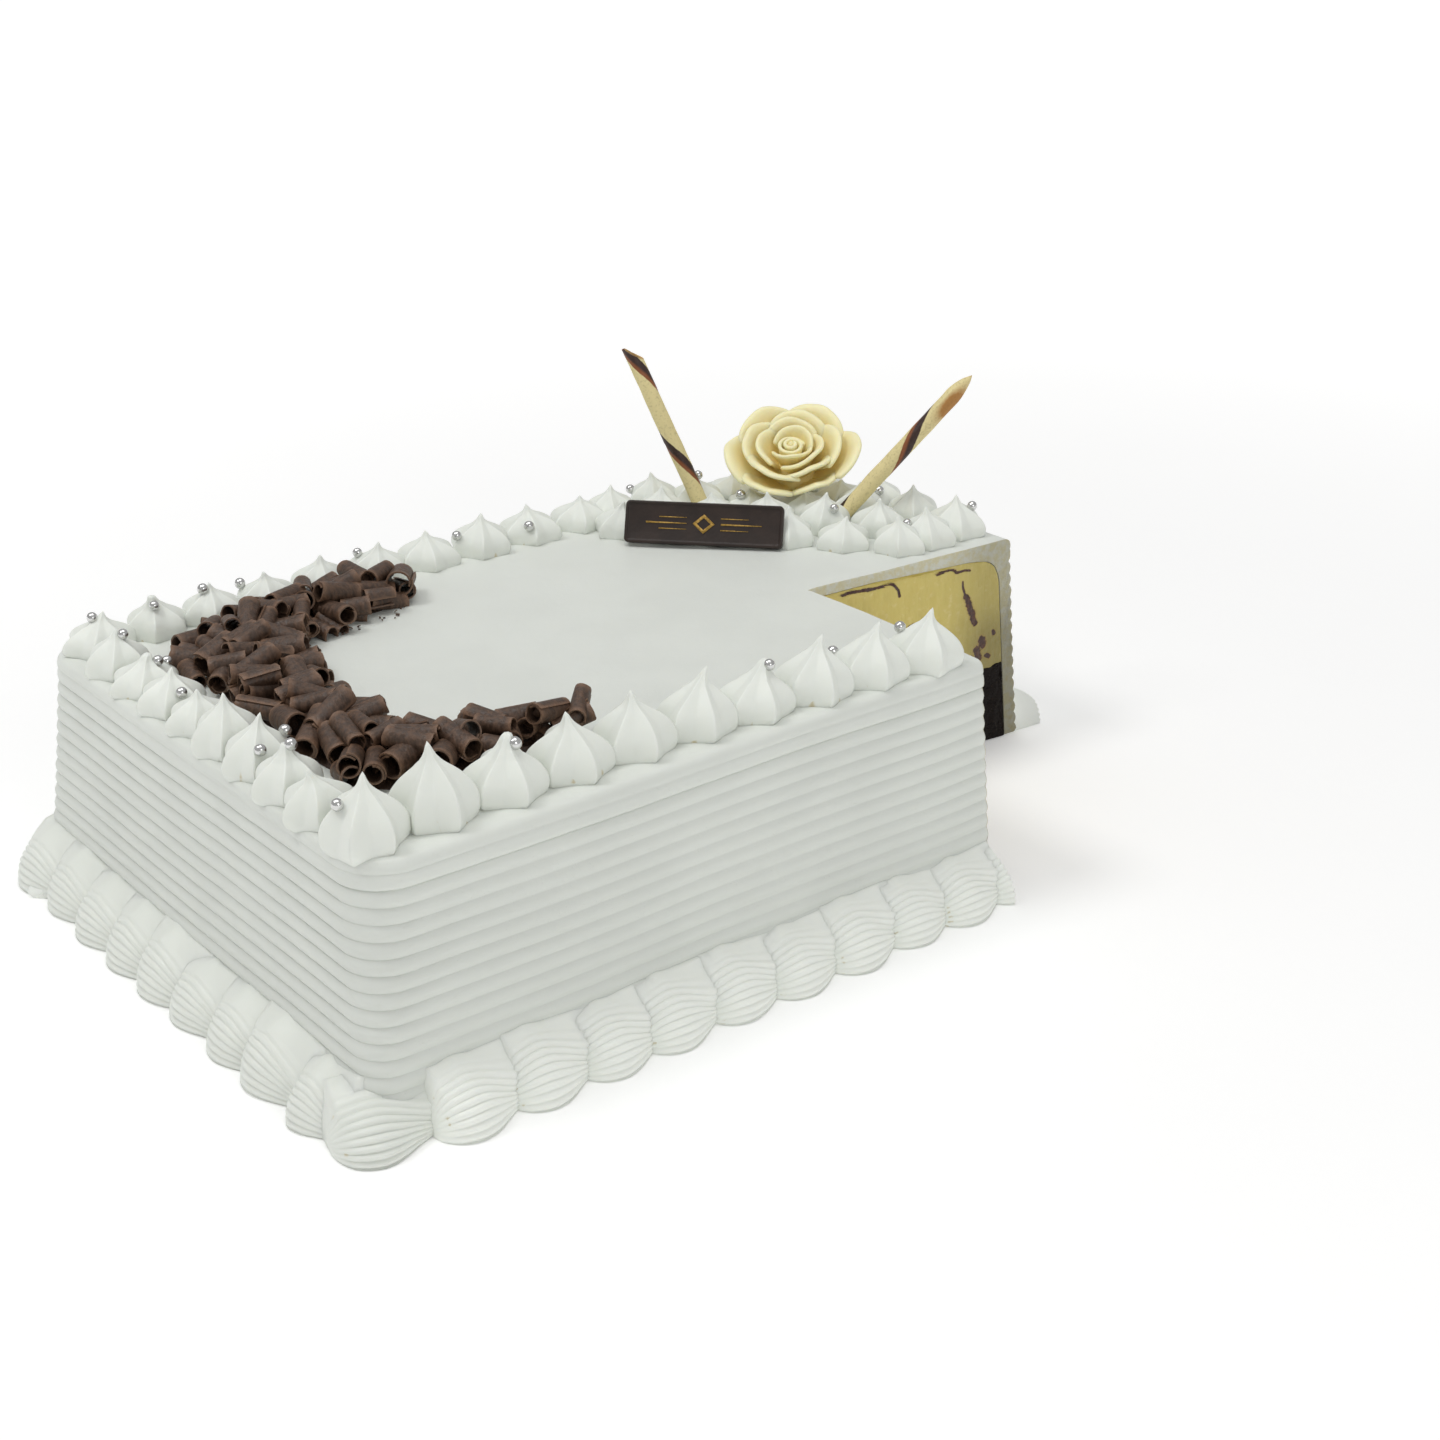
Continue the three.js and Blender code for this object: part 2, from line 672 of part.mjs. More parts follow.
// A thin closed petal: a curved sheet and its back, both split alike, joined at the rim
function petalSolid(angle, ring) {
  const columns = 3;
  const rows = 2;
  const open = ring / 3;
  const span = 1.35 - 0.2 * open;
  const reach = 4.5 + (ROSE_RADIUS - 5.5) * open ** 1.15;
  const low = 7 * (1 - open);
  const tall = ROSE_HEIGHT - 2 - 4.5 * open - low;
  const point = (u, v, back) => {
    const turn = angle + u * span * (0.62 + 0.38 * v);
    const away = 2.5 + (reach - 2.5) * v ** (1 + 0.5 * (1 - open)) - back * PETAL_THICK;
    const z = low + tall * v * (1 - 0.34 * u * u) + back * PETAL_THICK * 0.6 * open;
    return [away * Math.cos(turn), away * Math.sin(turn), z];
  };
  const corner = (i, j, back) => point(2 * i / columns - 1, 0.1 + 0.9 * j / rows, back);
  const positions = [];
  const quad = (a, b, c, d) => positions.push(...a, ...b, ...c, ...a, ...c, ...d);
  for (let i = 0; i < columns; i += 1) {
    for (let j = 0; j < rows; j += 1) {
      quad(corner(i, j, 0), corner(i + 1, j, 0), corner(i + 1, j + 1, 0), corner(i, j + 1, 0));
      quad(corner(i, j + 1, 1), corner(i + 1, j + 1, 1), corner(i + 1, j, 1), corner(i, j, 1));
    }
    quad(corner(i, 0, 1), corner(i + 1, 0, 1), corner(i + 1, 0, 0), corner(i, 0, 0));
    quad(corner(i, rows, 0), corner(i + 1, rows, 0), corner(i + 1, rows, 1), corner(i, rows, 1));
  }
  for (let j = 0; j < rows; j += 1) {
    quad(corner(0, j, 0), corner(0, j + 1, 0), corner(0, j + 1, 1), corner(0, j, 1));
    quad(corner(columns, j, 1), corner(columns, j + 1, 1), corner(columns, j + 1, 0),
      corner(columns, j, 0));
  }
  const geometry = new THREE.BufferGeometry();
  geometry.setAttribute('position', new THREE.Float32BufferAttribute(positions, 3));
  return geometry;
}

function placeRose(geometry) {
  const axis = FRONT.clone().multiplyScalar(Math.sin(ROSE_TILT));
  axis.z = Math.cos(ROSE_TILT);
  const turn = new THREE.Quaternion().setFromUnitVectors(new THREE.Vector3(0, 0, 1), axis);
  geometry.applyQuaternion(turn);
  geometry.translate(...ROSE_FOOT);
  return geometry;
}

// The hollow that the rose presses into the stars
function roseSeat() {
  const rim = ROSE_RADIUS + 1;
  return turned([[0, -0.5], [6.6, -0.5], [rim, 9], [rim, ROSE_HEIGHT], [0, ROSE_HEIGHT]]);
}

// A profile of radius and height turned about the rose's axis, put in its place
function turned(profile) {
  const points = profile.map(([radius, z]) => new THREE.Vector2(radius, z));
  const body = new THREE.LatheGeometry(points, 8);
  body.rotateX(Math.PI / 2);
  return solid(placeRose(body));
}

function makeRose() {
  const bodies = [turned(ROSE_HUB)];
  [2, 3, 5].forEach((count, ring) => {
    for (let i = 0; i < count; i += 1) {
      const angle = (i + 0.5 * (ring % 2) + 0.2 * ring) * 2 * Math.PI / count;
      bodies.push(solid(placeRose(petalSolid(angle, ring + 1))));
    }
  });
  return largest(joined(bodies));
}

// Assembly

const cutaway = makeCutaway();
const cavity = makeCore(-2, HEIGHT, 0);
const icing = makeOuter().subtract(cavity).subtract(cutaway);
const sponge = makeCore(0, SPONGE_TOP, GAP).subtract(cutaway);
const iceCream = makeCore(SPONGE_TOP + GAP, HEIGHT, GAP).subtract(cutaway);

// Each row of stars, with its sugar balls as star number, compass angle and part of the height
function row(stars, list) {
  const balls = list.map(([index, degrees, part]) => ballPlace(stars[index], degrees, part));
  return { stars, balls };
}

const front = row(frontStars(), [
  [0, 175, 0.6], [2, 315, 0.8], [6, 315, 0.85], [8, 130, 0.4], [9, 130, 0.6],
]);
const left = row(leftStars(), [
  [0, 150, 0.8], [1, 325, 0.8], [2, 335, 0.7], [2, 10, 0.5], [3, 270, 0.5], [6, 250, 0.5],
  [6, 0, 0.5], [7, 330, 0.9],
]);
const back = row(backStars(), [
  [0, 250, 0.75], [1, 170, 0.8], [2, 130, 0.5], [3, 200, 0.4], [4, 130, 0.6], [6, 180, 0.5],
  [7, 235, 0.5],
]);
const field = row(fieldStars(), [
  [10, 265, 0.6], [12, 150, 0.5], [13, 340, 0.6], [14, 110, 0.3], [15, 0, 0.9], [16, 170, 0.7],
  [22, 230, 0.6],
]);

const wafers = [WAFER_LEFT, WAFER_RIGHT];
const plaque = makePlaque();
const rose = makeRose();
const shells = makeShells(cutaway);
const heaped = [...front.stars, ...left.stars, ...back.stars];
const heapedBalls = [...front.balls, ...left.balls, ...back.balls];
const curls = makeCurls(heaped, heapedBalls);

// A row that ends beside another row's stars is cut back a little from them
function clearOf(body, neighbours) {
  return neighbours.reduce((rest, item) => rest.subtract(starSolid(item, GAP)), body);
}

const starsFront = joinRow(front).subtract(cutaway);
const starsLeft = clearOf(joinRow(left), [front.stars[0]]);
const starsBack = clearOf(joinRow(back), left.stars.slice(0, 2));
let starsField = clearOf(joinRow(field), back.stars.slice(6)).subtract(cutaway);
wafers.forEach((wafer) => {
  starsField = starsField.subtract(waferSolid(wafer, GAP, false));
});
starsField = starsField.subtract(roseSeat());
starsField = starsField.subtract(
  solid(placePlaque(plate(-GAP, PLAQUE_THICK + 2 * GAP, -PLAQUE_THICK - GAP))),
);

const group = new THREE.Group();
group.add(
  makeMesh('sponge', sponge, 0x2c201c, 0.9),
  makeMesh('ice_cream', iceCream, 0xe2cd7f, 0.6),
  makeMesh('icing', icing, 0xdde0dc, 0.55),
  makeMesh('shells_front', shells.front, 0xe0e3de, 0.55),
  makeMesh('shells_left', shells.left, 0xe0e3de, 0.55),
  makeMesh('shells_back', shells.back, 0xe0e3de, 0.55),
  makeMesh('shells_right', shells.right, 0xe0e3de, 0.55),
  makeMesh('stars_front', largest(starsFront), 0xe4e7e2, 0.5),
  makeMesh('stars_left', largest(starsLeft), 0xe4e7e2, 0.5),
  makeMesh('stars_back', largest(starsBack), 0xe4e7e2, 0.5),
  makeMesh('stars_field', largest(starsField), 0xe4e7e2, 0.5),
  makeMesh('curls', curls, 0x46342a, 0.6),
  makeMesh('plaque', plaque, 0x372d28, 0.5),
  makeMesh('rose', rose, 0xe4d69a, 0.5),
  makeMesh('wafer_left', waferSolid(WAFER_LEFT, 0, true), 0xcdc38c, 0.7),
  makeMesh('wafer_right', waferSolid(WAFER_RIGHT, 0, true), 0xcdc38c, 0.7),
);

export default group;
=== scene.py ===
"""Looks of a rectangular ice cream sheet cake with one corner portion cut out.

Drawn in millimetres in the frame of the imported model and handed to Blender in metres.
"""

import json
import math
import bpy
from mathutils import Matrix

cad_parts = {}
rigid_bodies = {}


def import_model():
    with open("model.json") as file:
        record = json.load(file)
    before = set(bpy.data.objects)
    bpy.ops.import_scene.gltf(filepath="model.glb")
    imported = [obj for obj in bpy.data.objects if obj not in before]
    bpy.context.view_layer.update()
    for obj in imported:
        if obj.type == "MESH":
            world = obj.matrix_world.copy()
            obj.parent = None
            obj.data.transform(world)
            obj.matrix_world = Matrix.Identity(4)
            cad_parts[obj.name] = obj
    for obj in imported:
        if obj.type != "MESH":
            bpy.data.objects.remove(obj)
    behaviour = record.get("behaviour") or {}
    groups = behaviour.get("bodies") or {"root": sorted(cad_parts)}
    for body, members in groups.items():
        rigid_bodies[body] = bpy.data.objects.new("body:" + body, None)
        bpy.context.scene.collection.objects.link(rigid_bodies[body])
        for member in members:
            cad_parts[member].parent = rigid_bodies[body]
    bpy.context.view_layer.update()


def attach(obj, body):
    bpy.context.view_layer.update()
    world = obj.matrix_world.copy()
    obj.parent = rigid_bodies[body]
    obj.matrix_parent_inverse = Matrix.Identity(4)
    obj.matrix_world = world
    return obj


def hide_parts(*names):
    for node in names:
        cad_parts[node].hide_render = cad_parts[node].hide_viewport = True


bl_info = {
    "name": "Ice cream sheet cake",
    "version": (1, 0, 0),
    "blender": (4, 5, 0),
    "location": "3D View > Sidebar > Cake",
    "description": "Icing, layers, piping, curls, plaque, wafers and rose of a sheet cake",
    "category": "Add Mesh",
}

import bmesh
import bpy
import numpy as np
from bpy.props import FloatProperty, FloatVectorProperty, IntProperty, PointerProperty
from mathutils import Matrix, Vector

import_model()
MM = 0.001

# Whole cake, measured at the top: its foot stands out by LEAN, and it is upright above UPRIGHT
LENGTH = 326
WIDTH = 210
HEIGHT = 82
LEAN = 7.5
UPRIGHT = 77.7
CORNER_TOP = 15
CORNER_FOOT = 8
COMB_TOP = 72.8
COMB_PITCH = 4.9
COMB_RIDGES = 15
ICING_SIDE = 5
ICING_FOOT = 0.4
SPONGE_TOP = 32
CUT_X = 68.7
CUT_INNER_Y = -18.8
CUT_OUTER_Y = -25.1
CUT_SLOPE = (CUT_OUTER_Y - CUT_INNER_Y) / (LENGTH / 2 - CUT_X)
STAR_FOOT = 81.7
BALL_RADIUS = 1.9

# The heap of curls: points of its middle line, each with half the heap's width
HEAP_LINE = [
    (-68, -73, 4), (-82, -69, 7), (-100, -65, 12), (-124, -60, 17), (-128, -28, 15),
    (-127, 5, 14), (-123, 36, 18), (-110, 62, 17), (-82, 69, 13), (-60, 71, 13), (-46, 74, 6),
]
# Least and greatest X and Y of the ground on which the heap grows
HEAP_BOX = ((-175, -110), (-10, 115))

# Plaque, wafers and rose
PLAQUE_LENGTH = 60
PLAQUE_HEIGHT = 16
PLAQUE_THICK = 3
PLAQUE_MIDDLE = (67.2, 40.3)
PLAQUE_LEAN = math.radians(27)
WAFERS = {
    "left": ((93.9, 75.4, 86.5), (80.1, 100.7, 145.8)),
    "right": ((128.7, 29.2, 86.5), (167.3, 1.6, 139)),
}
WAFER_RADIUS = 3.2
ROSE_FOOT = (134, 65.5, 88)
ROSE_TILT = math.radians(25)
# The direction in which the plaque faces and the rose leans
FRONT = (-0.745, -0.667)


# Values that a user may change

class CakeSizes(bpy.types.PropertyGroup):
    """Sizes of the cake's fine forms"""

    comb_depth: FloatProperty(
        name="Comb depth", description="Depth of the combed grooves", default=1.3 * MM,
        subtype="DISTANCE", unit="LENGTH",
    )
    star_groove: FloatProperty(
        name="Star groove", description="Part of a star's radius that its faces are hollowed",
        default=0.27, subtype="FACTOR",
    )
    shell_ribs: IntProperty(
        name="Shell ribs", description="Ribs across one piped shell", default=13,
    )
    curl_count: IntProperty(
        name="Curls", description="Chocolate curls in the heap", default=130,
    )
    wobble: FloatProperty(
        name="Hand wobble", description="Unevenness of the piped icing", default=0.45 * MM,
        subtype="DISTANCE", unit="LENGTH",
    )


def colour(name, description, value):
    return FloatVectorProperty(
        name=name, description=description, default=value, size=3, subtype="COLOR",
        min=0, max=1,
    )


class CakeColours(bpy.types.PropertyGroup):
    """Colours of the cake and its stage"""

    icing: colour("Icing", "Whipped icing", (0.722, 0.746, 0.698))
    # The piping is a little lighter than the icing as painted light, for its faces catch more light
    # than the combed walls
    piping: colour("Piping", "Piped icing", (0.800, 0.825, 0.768))
    ice_cream: colour("Ice cream", "Pale yellow ice cream", (0.71, 0.585, 0.168))
    ripple: colour("Ripple", "Fudge ripple in the ice cream", (0.048, 0.014, 0.006))
    sponge: colour("Sponge", "Dark chocolate sponge", (0.014, 0.0088, 0.0065))
    chocolate: colour("Chocolate", "Chocolate curls", (0.090, 0.050, 0.030))
    plaque: colour("Plaque", "Chocolate plaque", (0.024, 0.0138, 0.0098))
    gold: colour("Gold", "Gold dusting on the plaque", (0.50, 0.30, 0.06))
    petal: colour("Petal", "White chocolate of the rose", (0.92, 0.87, 0.55))
    # Painted shade: the darker golden given to the rose deep between its petals
    petal_shade: colour("Petal painted shade", "White chocolate deep in the rose", (0.84, 0.66, 0.22))
    wafer: colour("Wafer", "Baked wafer", (0.76, 0.65, 0.33))
    stripe: colour("Wafer stripe", "Chocolate stripe of the wafers", (0.035, 0.013, 0.008))
    silver: colour("Silver", "Silver sugar balls", (0.72, 0.72, 0.71))
    floor: colour("Floor", "Studio floor", (0.97, 0.97, 0.965))


# Repeatable draws and noise

class Draw:
    """A repeatable draw between -1 and 1, the same that places the solids"""

    def __init__(self, seed):
        self.state = seed

    def __call__(self):
        self.state = (self.state * 1664525 + 1013904223) & 0xFFFFFFFF
        return self.state / 2147483648 - 1


# How many sine waves a smooth field is the sum of
WAVES = 9


def waves(points, size, seed):
    """A smooth field between about -1 and 1 at points in millimetres"""
    rng = np.random.default_rng(seed)
    points = np.asarray(points, float)
    total = np.zeros(points.shape[:-1])
    for _ in range(WAVES):
        way = rng.normal(size=points.shape[-1])
        way /= np.linalg.norm(way)
        length = size * rng.uniform(0.6, 1.6)
        total += np.sin(points @ way * 2 * math.pi / length + rng.uniform(0, 2 * math.pi))
    return total / math.sqrt(WAVES)


# Meshes

def new_object(name, points, faces, attributes=None):
    """An object in metres from points in millimetres, with its faces turned outwards"""
    mesh = bpy.data.meshes.new(name)
    mesh.from_pydata((np.asarray(points, float) * MM).tolist(), [], faces)
    for key, values in (attributes or {}).items():
        layer = mesh.attributes.new(key, "FLOAT", "POINT")
        layer.data.foreach_set("value", np.asarray(values, np.float32))
    turn_outwards(mesh)
    return bpy.data.objects.new(name, mesh)


def turn_outwards(mesh):
    work = bmesh.new()
    work.from_mesh(mesh)
    bmesh.ops.remove_doubles(work, verts=work.verts, dist=1e-7)
    bmesh.ops.recalc_face_normals(work, faces=work.faces)
    for face in work.faces:
        face.smooth = True
    work.to_mesh(mesh)
    work.free()


def sharpen(piece, degrees):
    """Keeps the edges that bend more than so many degrees sharp"""
    piece.data.set_sharp_from_angle(angle=math.radians(degrees))


def grid_faces(rows, columns, wrap=False, start=0):
    """Quads of a grid of points, whose columns may close on themselves"""
    faces = []
    for row in range(rows - 1):
        for column in range(columns if wrap else columns - 1):
            after = (column + 1) % columns
            low = start + row * columns
            high = low + columns
            faces.append((low + column, low + after, high + after, high + column))
    return faces


def tube_faces(rows, columns):
    """Faces of rows of closed rings, with a flat face at both ends"""
    last = (rows - 1) * columns
    ends = [tuple(range(columns)), tuple(range(last, last + columns))]
    return grid_faces(rows, columns, wrap=True) + ends


def slab_faces(rows, columns):
    """Faces of two grids, one behind the other, closed round their border"""
    half = rows * columns
    last = half - columns
    border = list(range(columns)) + [row * columns + columns - 1 for row in range(1, rows)]
    border += [last + column for column in range(columns - 2, -1, -1)]
    border += [row * columns for row in range(rows - 2, 0, -1)]
    faces = grid_faces(rows, columns) + grid_faces(rows, columns, start=half)
    faces += [(a, b, b + half, a + half) for a, b in zip(border, border[1:] + border[:1])]
    return faces


def link(piece):
    bpy.context.scene.collection.objects.link(piece)
    return piece


def hand_over(piece, replaced=(), material=None):
    """Puts a finished piece in the scene on the cake's one body"""
    if material is not None:
        piece.data.materials.clear()
        piece.data.materials.append(material)
    if piece.name not in bpy.context.scene.collection.objects:
        link(piece)
    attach(piece, "root")
    if replaced:
        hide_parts(*replaced)
    return piece


def applied(piece):
    """The piece with its modifiers worked into a plain mesh"""
    graph = bpy.context.evaluated_depsgraph_get()
    graph.update()
    mesh = bpy.data.meshes.new_from_object(piece.evaluated_get(graph))
    piece.modifiers.clear()
    old = piece.data
    piece.data = mesh
    bpy.data.meshes.remove(old)
    mesh.name = piece.name
    return piece


# Node trees

class Wire:
    """A value in a node tree. Sums of wires add the Math nodes that work them out."""

    def __init__(self, desk, socket):
        self.desk = desk
        self.socket = socket

    def math(self, operation, *terms):
        settings = {"operation": operation}
        return self.desk.node("ShaderNodeMath", settings, dict(enumerate(terms)))

    def __add__(self, other):
        return self.math("ADD", self, other)

    def __sub__(self, other):
        return self.math("SUBTRACT", self, other)

    def __mul__(self, other):
        return self.math("MULTIPLY", self, other)

    def __truediv__(self, other):
        return self.math("DIVIDE", self, other)

    def __pow__(self, other):
        return self.math("POWER", self, other)

    def __rsub__(self, other):
        return self.math("SUBTRACT", other, self)

    def __rtruediv__(self, other):
        return self.math("DIVIDE", other, self)

    def __rpow__(self, other):
        return self.math("POWER", other, self)

    __radd__ = __add__
    __rmul__ = __mul__

    def clamp(self):
        return self.desk.node("ShaderNodeClamp", {}, {"Value": self})

    def between(self, low, high):
        """0 below low, 1 above high, and smooth between them"""
        settings = {"interpolation_type": "SMOOTHSTEP"}
        values = {"Value": self, "From Min": low, "From Max": high}
        return self.desk.node("ShaderNodeMapRange", settings, values)


class Desk:
    """A node tree being built"""

    def __init__(self, tree):
        self.tree = tree

    def node(self, kind, settings=None, values=None, out=0):
        """Adds a node: its settings first, then the values or wires of its sockets"""
        node = self.tree.nodes.new(kind)
        for key, value in (settings or {}).items():
            setattr(node, key, value)
        for key, value in (values or {}).items():
            socket = node.inputs[key]
            if isinstance(value, Wire):
                self.tree.links.new(value.socket, socket)
            else:
                socket.default_value = value
        return Wire(self, node.outputs[out]) if len(node.outputs) else node

    def mix(self, amount, first, second):
        """Colour first where amount is 0 and second where it is 1"""
        values = {0: amount, 6: rgba(first), 7: rgba(second)}
        return self.node("ShaderNodeMix", {"data_type": "RGBA"}, values, out=2)

    def noise(self, size, detail, place=None, roughness=0.5):
        """Noise whose grains are about so many millimetres across"""
        values = {"Scale": 1 / (size * MM), "Detail": detail, "Roughness": roughness}
        values["Vector"] = place or self.place()
        return self.node("ShaderNodeTexNoise", {}, values)

    def place(self):
        """The place on the piece in metres"""
        return self.node("ShaderNodeTexCoord", out="Object")

    def coordinate(self, axis):
        """X, Y or Z of the place in millimetres, as axis 0, 1 or 2"""
        return self.node("ShaderNodeSeparateXYZ", {}, {"Vector": self.place()}, out=axis) / MM

    def drawn_out(self, share):
        """The place with its height shrunk to a share, which draws a pattern out upwards"""
        values = {"Vector": self.place(), "Scale": (1, 1, share)}
        return self.node("ShaderNodeMapping", {}, values)

    def attribute(self, name):
        return self.node("ShaderNodeAttribute", {"attribute_name": name}, out="Fac")

    def bump(self, height, distance):
        """The normal over a height that rises so many millimetres"""
        values = {"Height": height, "Distance": distance * MM, "Strength": 1}
        return self.node("ShaderNodeBump", {}, values)


def rgba(value):
    if isinstance(value, Wire):
        return value
    return (*tuple(value)[:3], 1)


def finish(name, build):
    """A material whose surface values come from build(desk, colours)"""
    material = bpy.data.materials.new(name)
    material.use_nodes = True
    material.node_tree.nodes.clear()
    desk = Desk(material.node_tree)
    surface = build(desk, bpy.context.scene.cake_colours)
    shader = desk.node("ShaderNodeBsdfPrincipled", {}, surface)
    desk.node("ShaderNodeOutputMaterial", {}, {"Surface": shader})
    return material


# Finishes

ICING_GLOW = {
    "Subsurface Weight": 0.25, "Subsurface Radius": (1.0, 0.95, 0.85),
    "Subsurface Scale": 2.2 * MM, "Specular IOR Level": 0.42,
}
# Tints that the finishes mix into their main colours
BUTTER = (0.55, 0.45, 0.22)
PALE_CREAM = (0.88, 0.76, 0.42)
SYRUP = (0.10, 0.034, 0.010)
SYRUP_HALO = (0.40, 0.22, 0.05)
LIGHT_CRUMB = (0.07, 0.036, 0.022)
# Painted light on the thin rims of the curls, where light shines through the chocolate
PAINTED_EDGE_LIGHT = (0.24, 0.135, 0.080)
PETAL_BLOOM = (0.92, 0.85, 0.56)
TOASTED = (0.42, 0.2, 0.05)
STRIPE_EDGE = (0.25, 0.075, 0.02)


def icing_finish(desk, colours):
    """Whipped icing: soft, with tiny pits and a slightly uneven white"""
    broad = desk.noise(34, 2)
    pits = desk.noise(0.9, 3).between(0.62, 0.8)
    tint = desk.mix(broad.between(0.35, 0.7), colours.icing, shade(colours.icing, 0.965))
    sliced = cut_mask(desk)
    patch = desk.noise(2.4, 4, roughness=0.6).between(0.36, 0.62)
    smeared = desk.mix(patch * 0.36 + 0.12, shade(colours.icing, 0.92), shade(colours.ice_cream, 0.84))
    tint = desk.mix(sliced, tint, smeared)
    # Painted shade darkens the icing at the far end of the long cut face
    tint = desk.mix(sliced * painted_cut_shade(desk), tint, shade(colours.ice_cream, 0.14))
    grain = desk.noise(2.6, 3) * 0.7 - pits * 0.5 + sliced * desk.noise(1.6, 4) * 3
    return {
        "Base Color": tint, "Roughness": 0.42 + desk.noise(5, 2) * 0.18,
        "Normal": desk.bump(grain, 0.16), **ICING_GLOW,
    }


def cut_mask(desk):
    """1 on the two cut faces and 0 elsewhere on the icing"""
    x = desk.coordinate(0)
    beyond = (x - CUT_X) * CUT_SLOPE + CUT_INNER_Y - desk.coordinate(1)
    return x.between(CUT_X - 0.35, CUT_X - 0.1) * beyond.between(-0.35, -0.1)


def painted_cut_shade(desk):
    """How much painted shade darkens the far end of the long cut face, most of all low down"""
    low = 1 - desk.coordinate(2).between(40, 66)
    return desk.coordinate(0).between(126, 156) * (0.36 + low * 0.32)


# The last value lightens the piping as painted light
def piping_finish(desk, colours, painted_light_factor=1.0):
    """Piped icing: smoother, with painted shade in its folds and tan specks of butter in its deepest
    folds
    """
    fold = desk.attribute("fold")
    speck = desk.noise(3.1, 1).between(0.58, 0.66) * fold.between(0.5, 0.85)
    # Painted shade darkens the piping in its folds
    tint = desk.mix(fold * 0.12, shade(colours.piping, painted_light_factor), shade(colours.piping, 0.86 * painted_light_factor))
    tint = desk.mix(speck * 0.7, tint, BUTTER)
    grain = desk.noise(1.6, 3) * 0.6 + desk.noise(7, 1)
    return {
        "Base Color": tint, "Roughness": 0.36 + desk.noise(4, 2) * 0.16,
        "Normal": desk.bump(grain, 0.12), **ICING_GLOW,
    }


def painted_light_shell_finish(desk, colours):
    """The piped icing of the shells that face the front, right and back, with painted light that makes
    it a little lighter
    """
    return piping_finish(desk, colours, 1.14)


def ice_cream_finish(desk, colours):
    """Smooth cut ice cream with knife marks and dark fudge ripples"""
    edge = desk.noise(1.1, 3) * 0.5 - 0.25
    ripple = (desk.attribute("ripple") + edge).between(0.36, 0.56)
    halo = (desk.attribute("ripple") + edge).between(0.05, 0.5)
    cloud = desk.noise(13, 3).between(0.3, 0.72)
    cream = desk.mix(cloud, shade(colours.ice_cream, 0.94), colours.ice_cream)
    cream = desk.mix(desk.noise(2.2, 4).between(0.55, 0.8) * 0.4, cream, PALE_CREAM)
    # Painted shade darkens the ice cream at the far end of the long cut face
    cream = desk.mix(painted_cut_shade(desk), cream, shade(colours.ice_cream, 0.12))
    syrup = desk.mix(desk.noise(1.7, 2).between(0.4, 0.7), colours.ripple, SYRUP)
    tint = desk.mix(halo * 0.35, cream, SYRUP_HALO)
    tint = desk.mix(ripple, tint, syrup)
    grain = desk.noise(1.3, 4, desk.drawn_out(0.16)) + desk.noise(0.5, 2) * 0.35 - ripple * 0.6
    return {
        "Base Color": tint, "Roughness": 0.48 - ripple * 0.14,
        "Normal": desk.bump(grain, 0.35), "Subsurface Weight": 0.2,
        "Subsurface Radius": (1.0, 0.7, 0.35), "Subsurface Scale": 1.6 * MM,
    }


def sponge_finish(desk, colours):
    """Close dark crumb with small holes"""
    holes = desk.node("ShaderNodeTexVoronoi", {}, {
        "Vector": desk.place(), "Scale": 1 / (1.7 * MM),
    })
    crumb = desk.noise(0.9, 4, roughness=0.65)
    depth = crumb + holes.between(0.1, 0.45) * 0.7
    tint = desk.mix(crumb.between(0.45, 0.75), shade(colours.sponge, 0.6), colours.sponge)
    tint = desk.mix(desk.noise(0.7, 2).between(0.66, 0.76) * 0.6, tint, LIGHT_CRUMB)
    return {
        "Base Color": tint, "Roughness": 0.86, "Normal": desk.bump(depth, 0.9),
        "Specular IOR Level": 0.25,
    }


def curl_finish(desk, colours):
    """Shaved chocolate: mottled, with lighter rims as painted light shining through the thin edges,
    and an inside darkened as painted shade
    """
    streaks = desk.drawn_out(0.4)
    mottle = desk.noise(1.5, 4, streaks, roughness=0.6).between(0.35, 0.72)
    rim = desk.attribute("rim")
    tint = desk.mix(mottle, shade(colours.chocolate, 0.55), shade(colours.chocolate, 1.35))
    # Painted light lightens the thin rims
    tint = desk.mix((rim * (0.4 + desk.noise(0.8, 2))).clamp() * 0.75, tint, PAINTED_EDGE_LIGHT)
    # Painted shade darkens the inner skin of each curl
    tint = desk.mix(desk.attribute("inside") * 0.6, tint, shade(colours.chocolate, 0.28))
    return {
        "Base Color": tint, "Roughness": 0.42 + mottle * 0.22,
        "Normal": desk.bump(desk.noise(0.8, 3, streaks) + mottle * 0.5, 0.25),
    }


def plaque_finish(desk, colours):
    """Moulded dark chocolate with a satin face"""
    cloud = desk.noise(9, 3).between(0.35, 0.7)
    tint = desk.mix(cloud, shade(colours.plaque, 0.8), shade(colours.plaque, 1.25))
    return {
        "Base Color": tint, "Roughness": 0.34 + desk.noise(3, 3) * 0.16,
        "Normal": desk.bump(desk.noise(1.2, 3), 0.08), "Specular IOR Level": 0.45,
    }


def gold_finish(desk, colours):
    """Gold dusting, slightly patchy"""
    patch = desk.noise(0.8, 3).between(0.3, 0.65)
    return {
        "Base Color": desk.mix(patch, shade(colours.gold, 0.55), colours.gold),
        "Metallic": 0.35, "Roughness": 0.5, "Normal": desk.bump(desk.noise(0.5, 2), 0.06),
    }


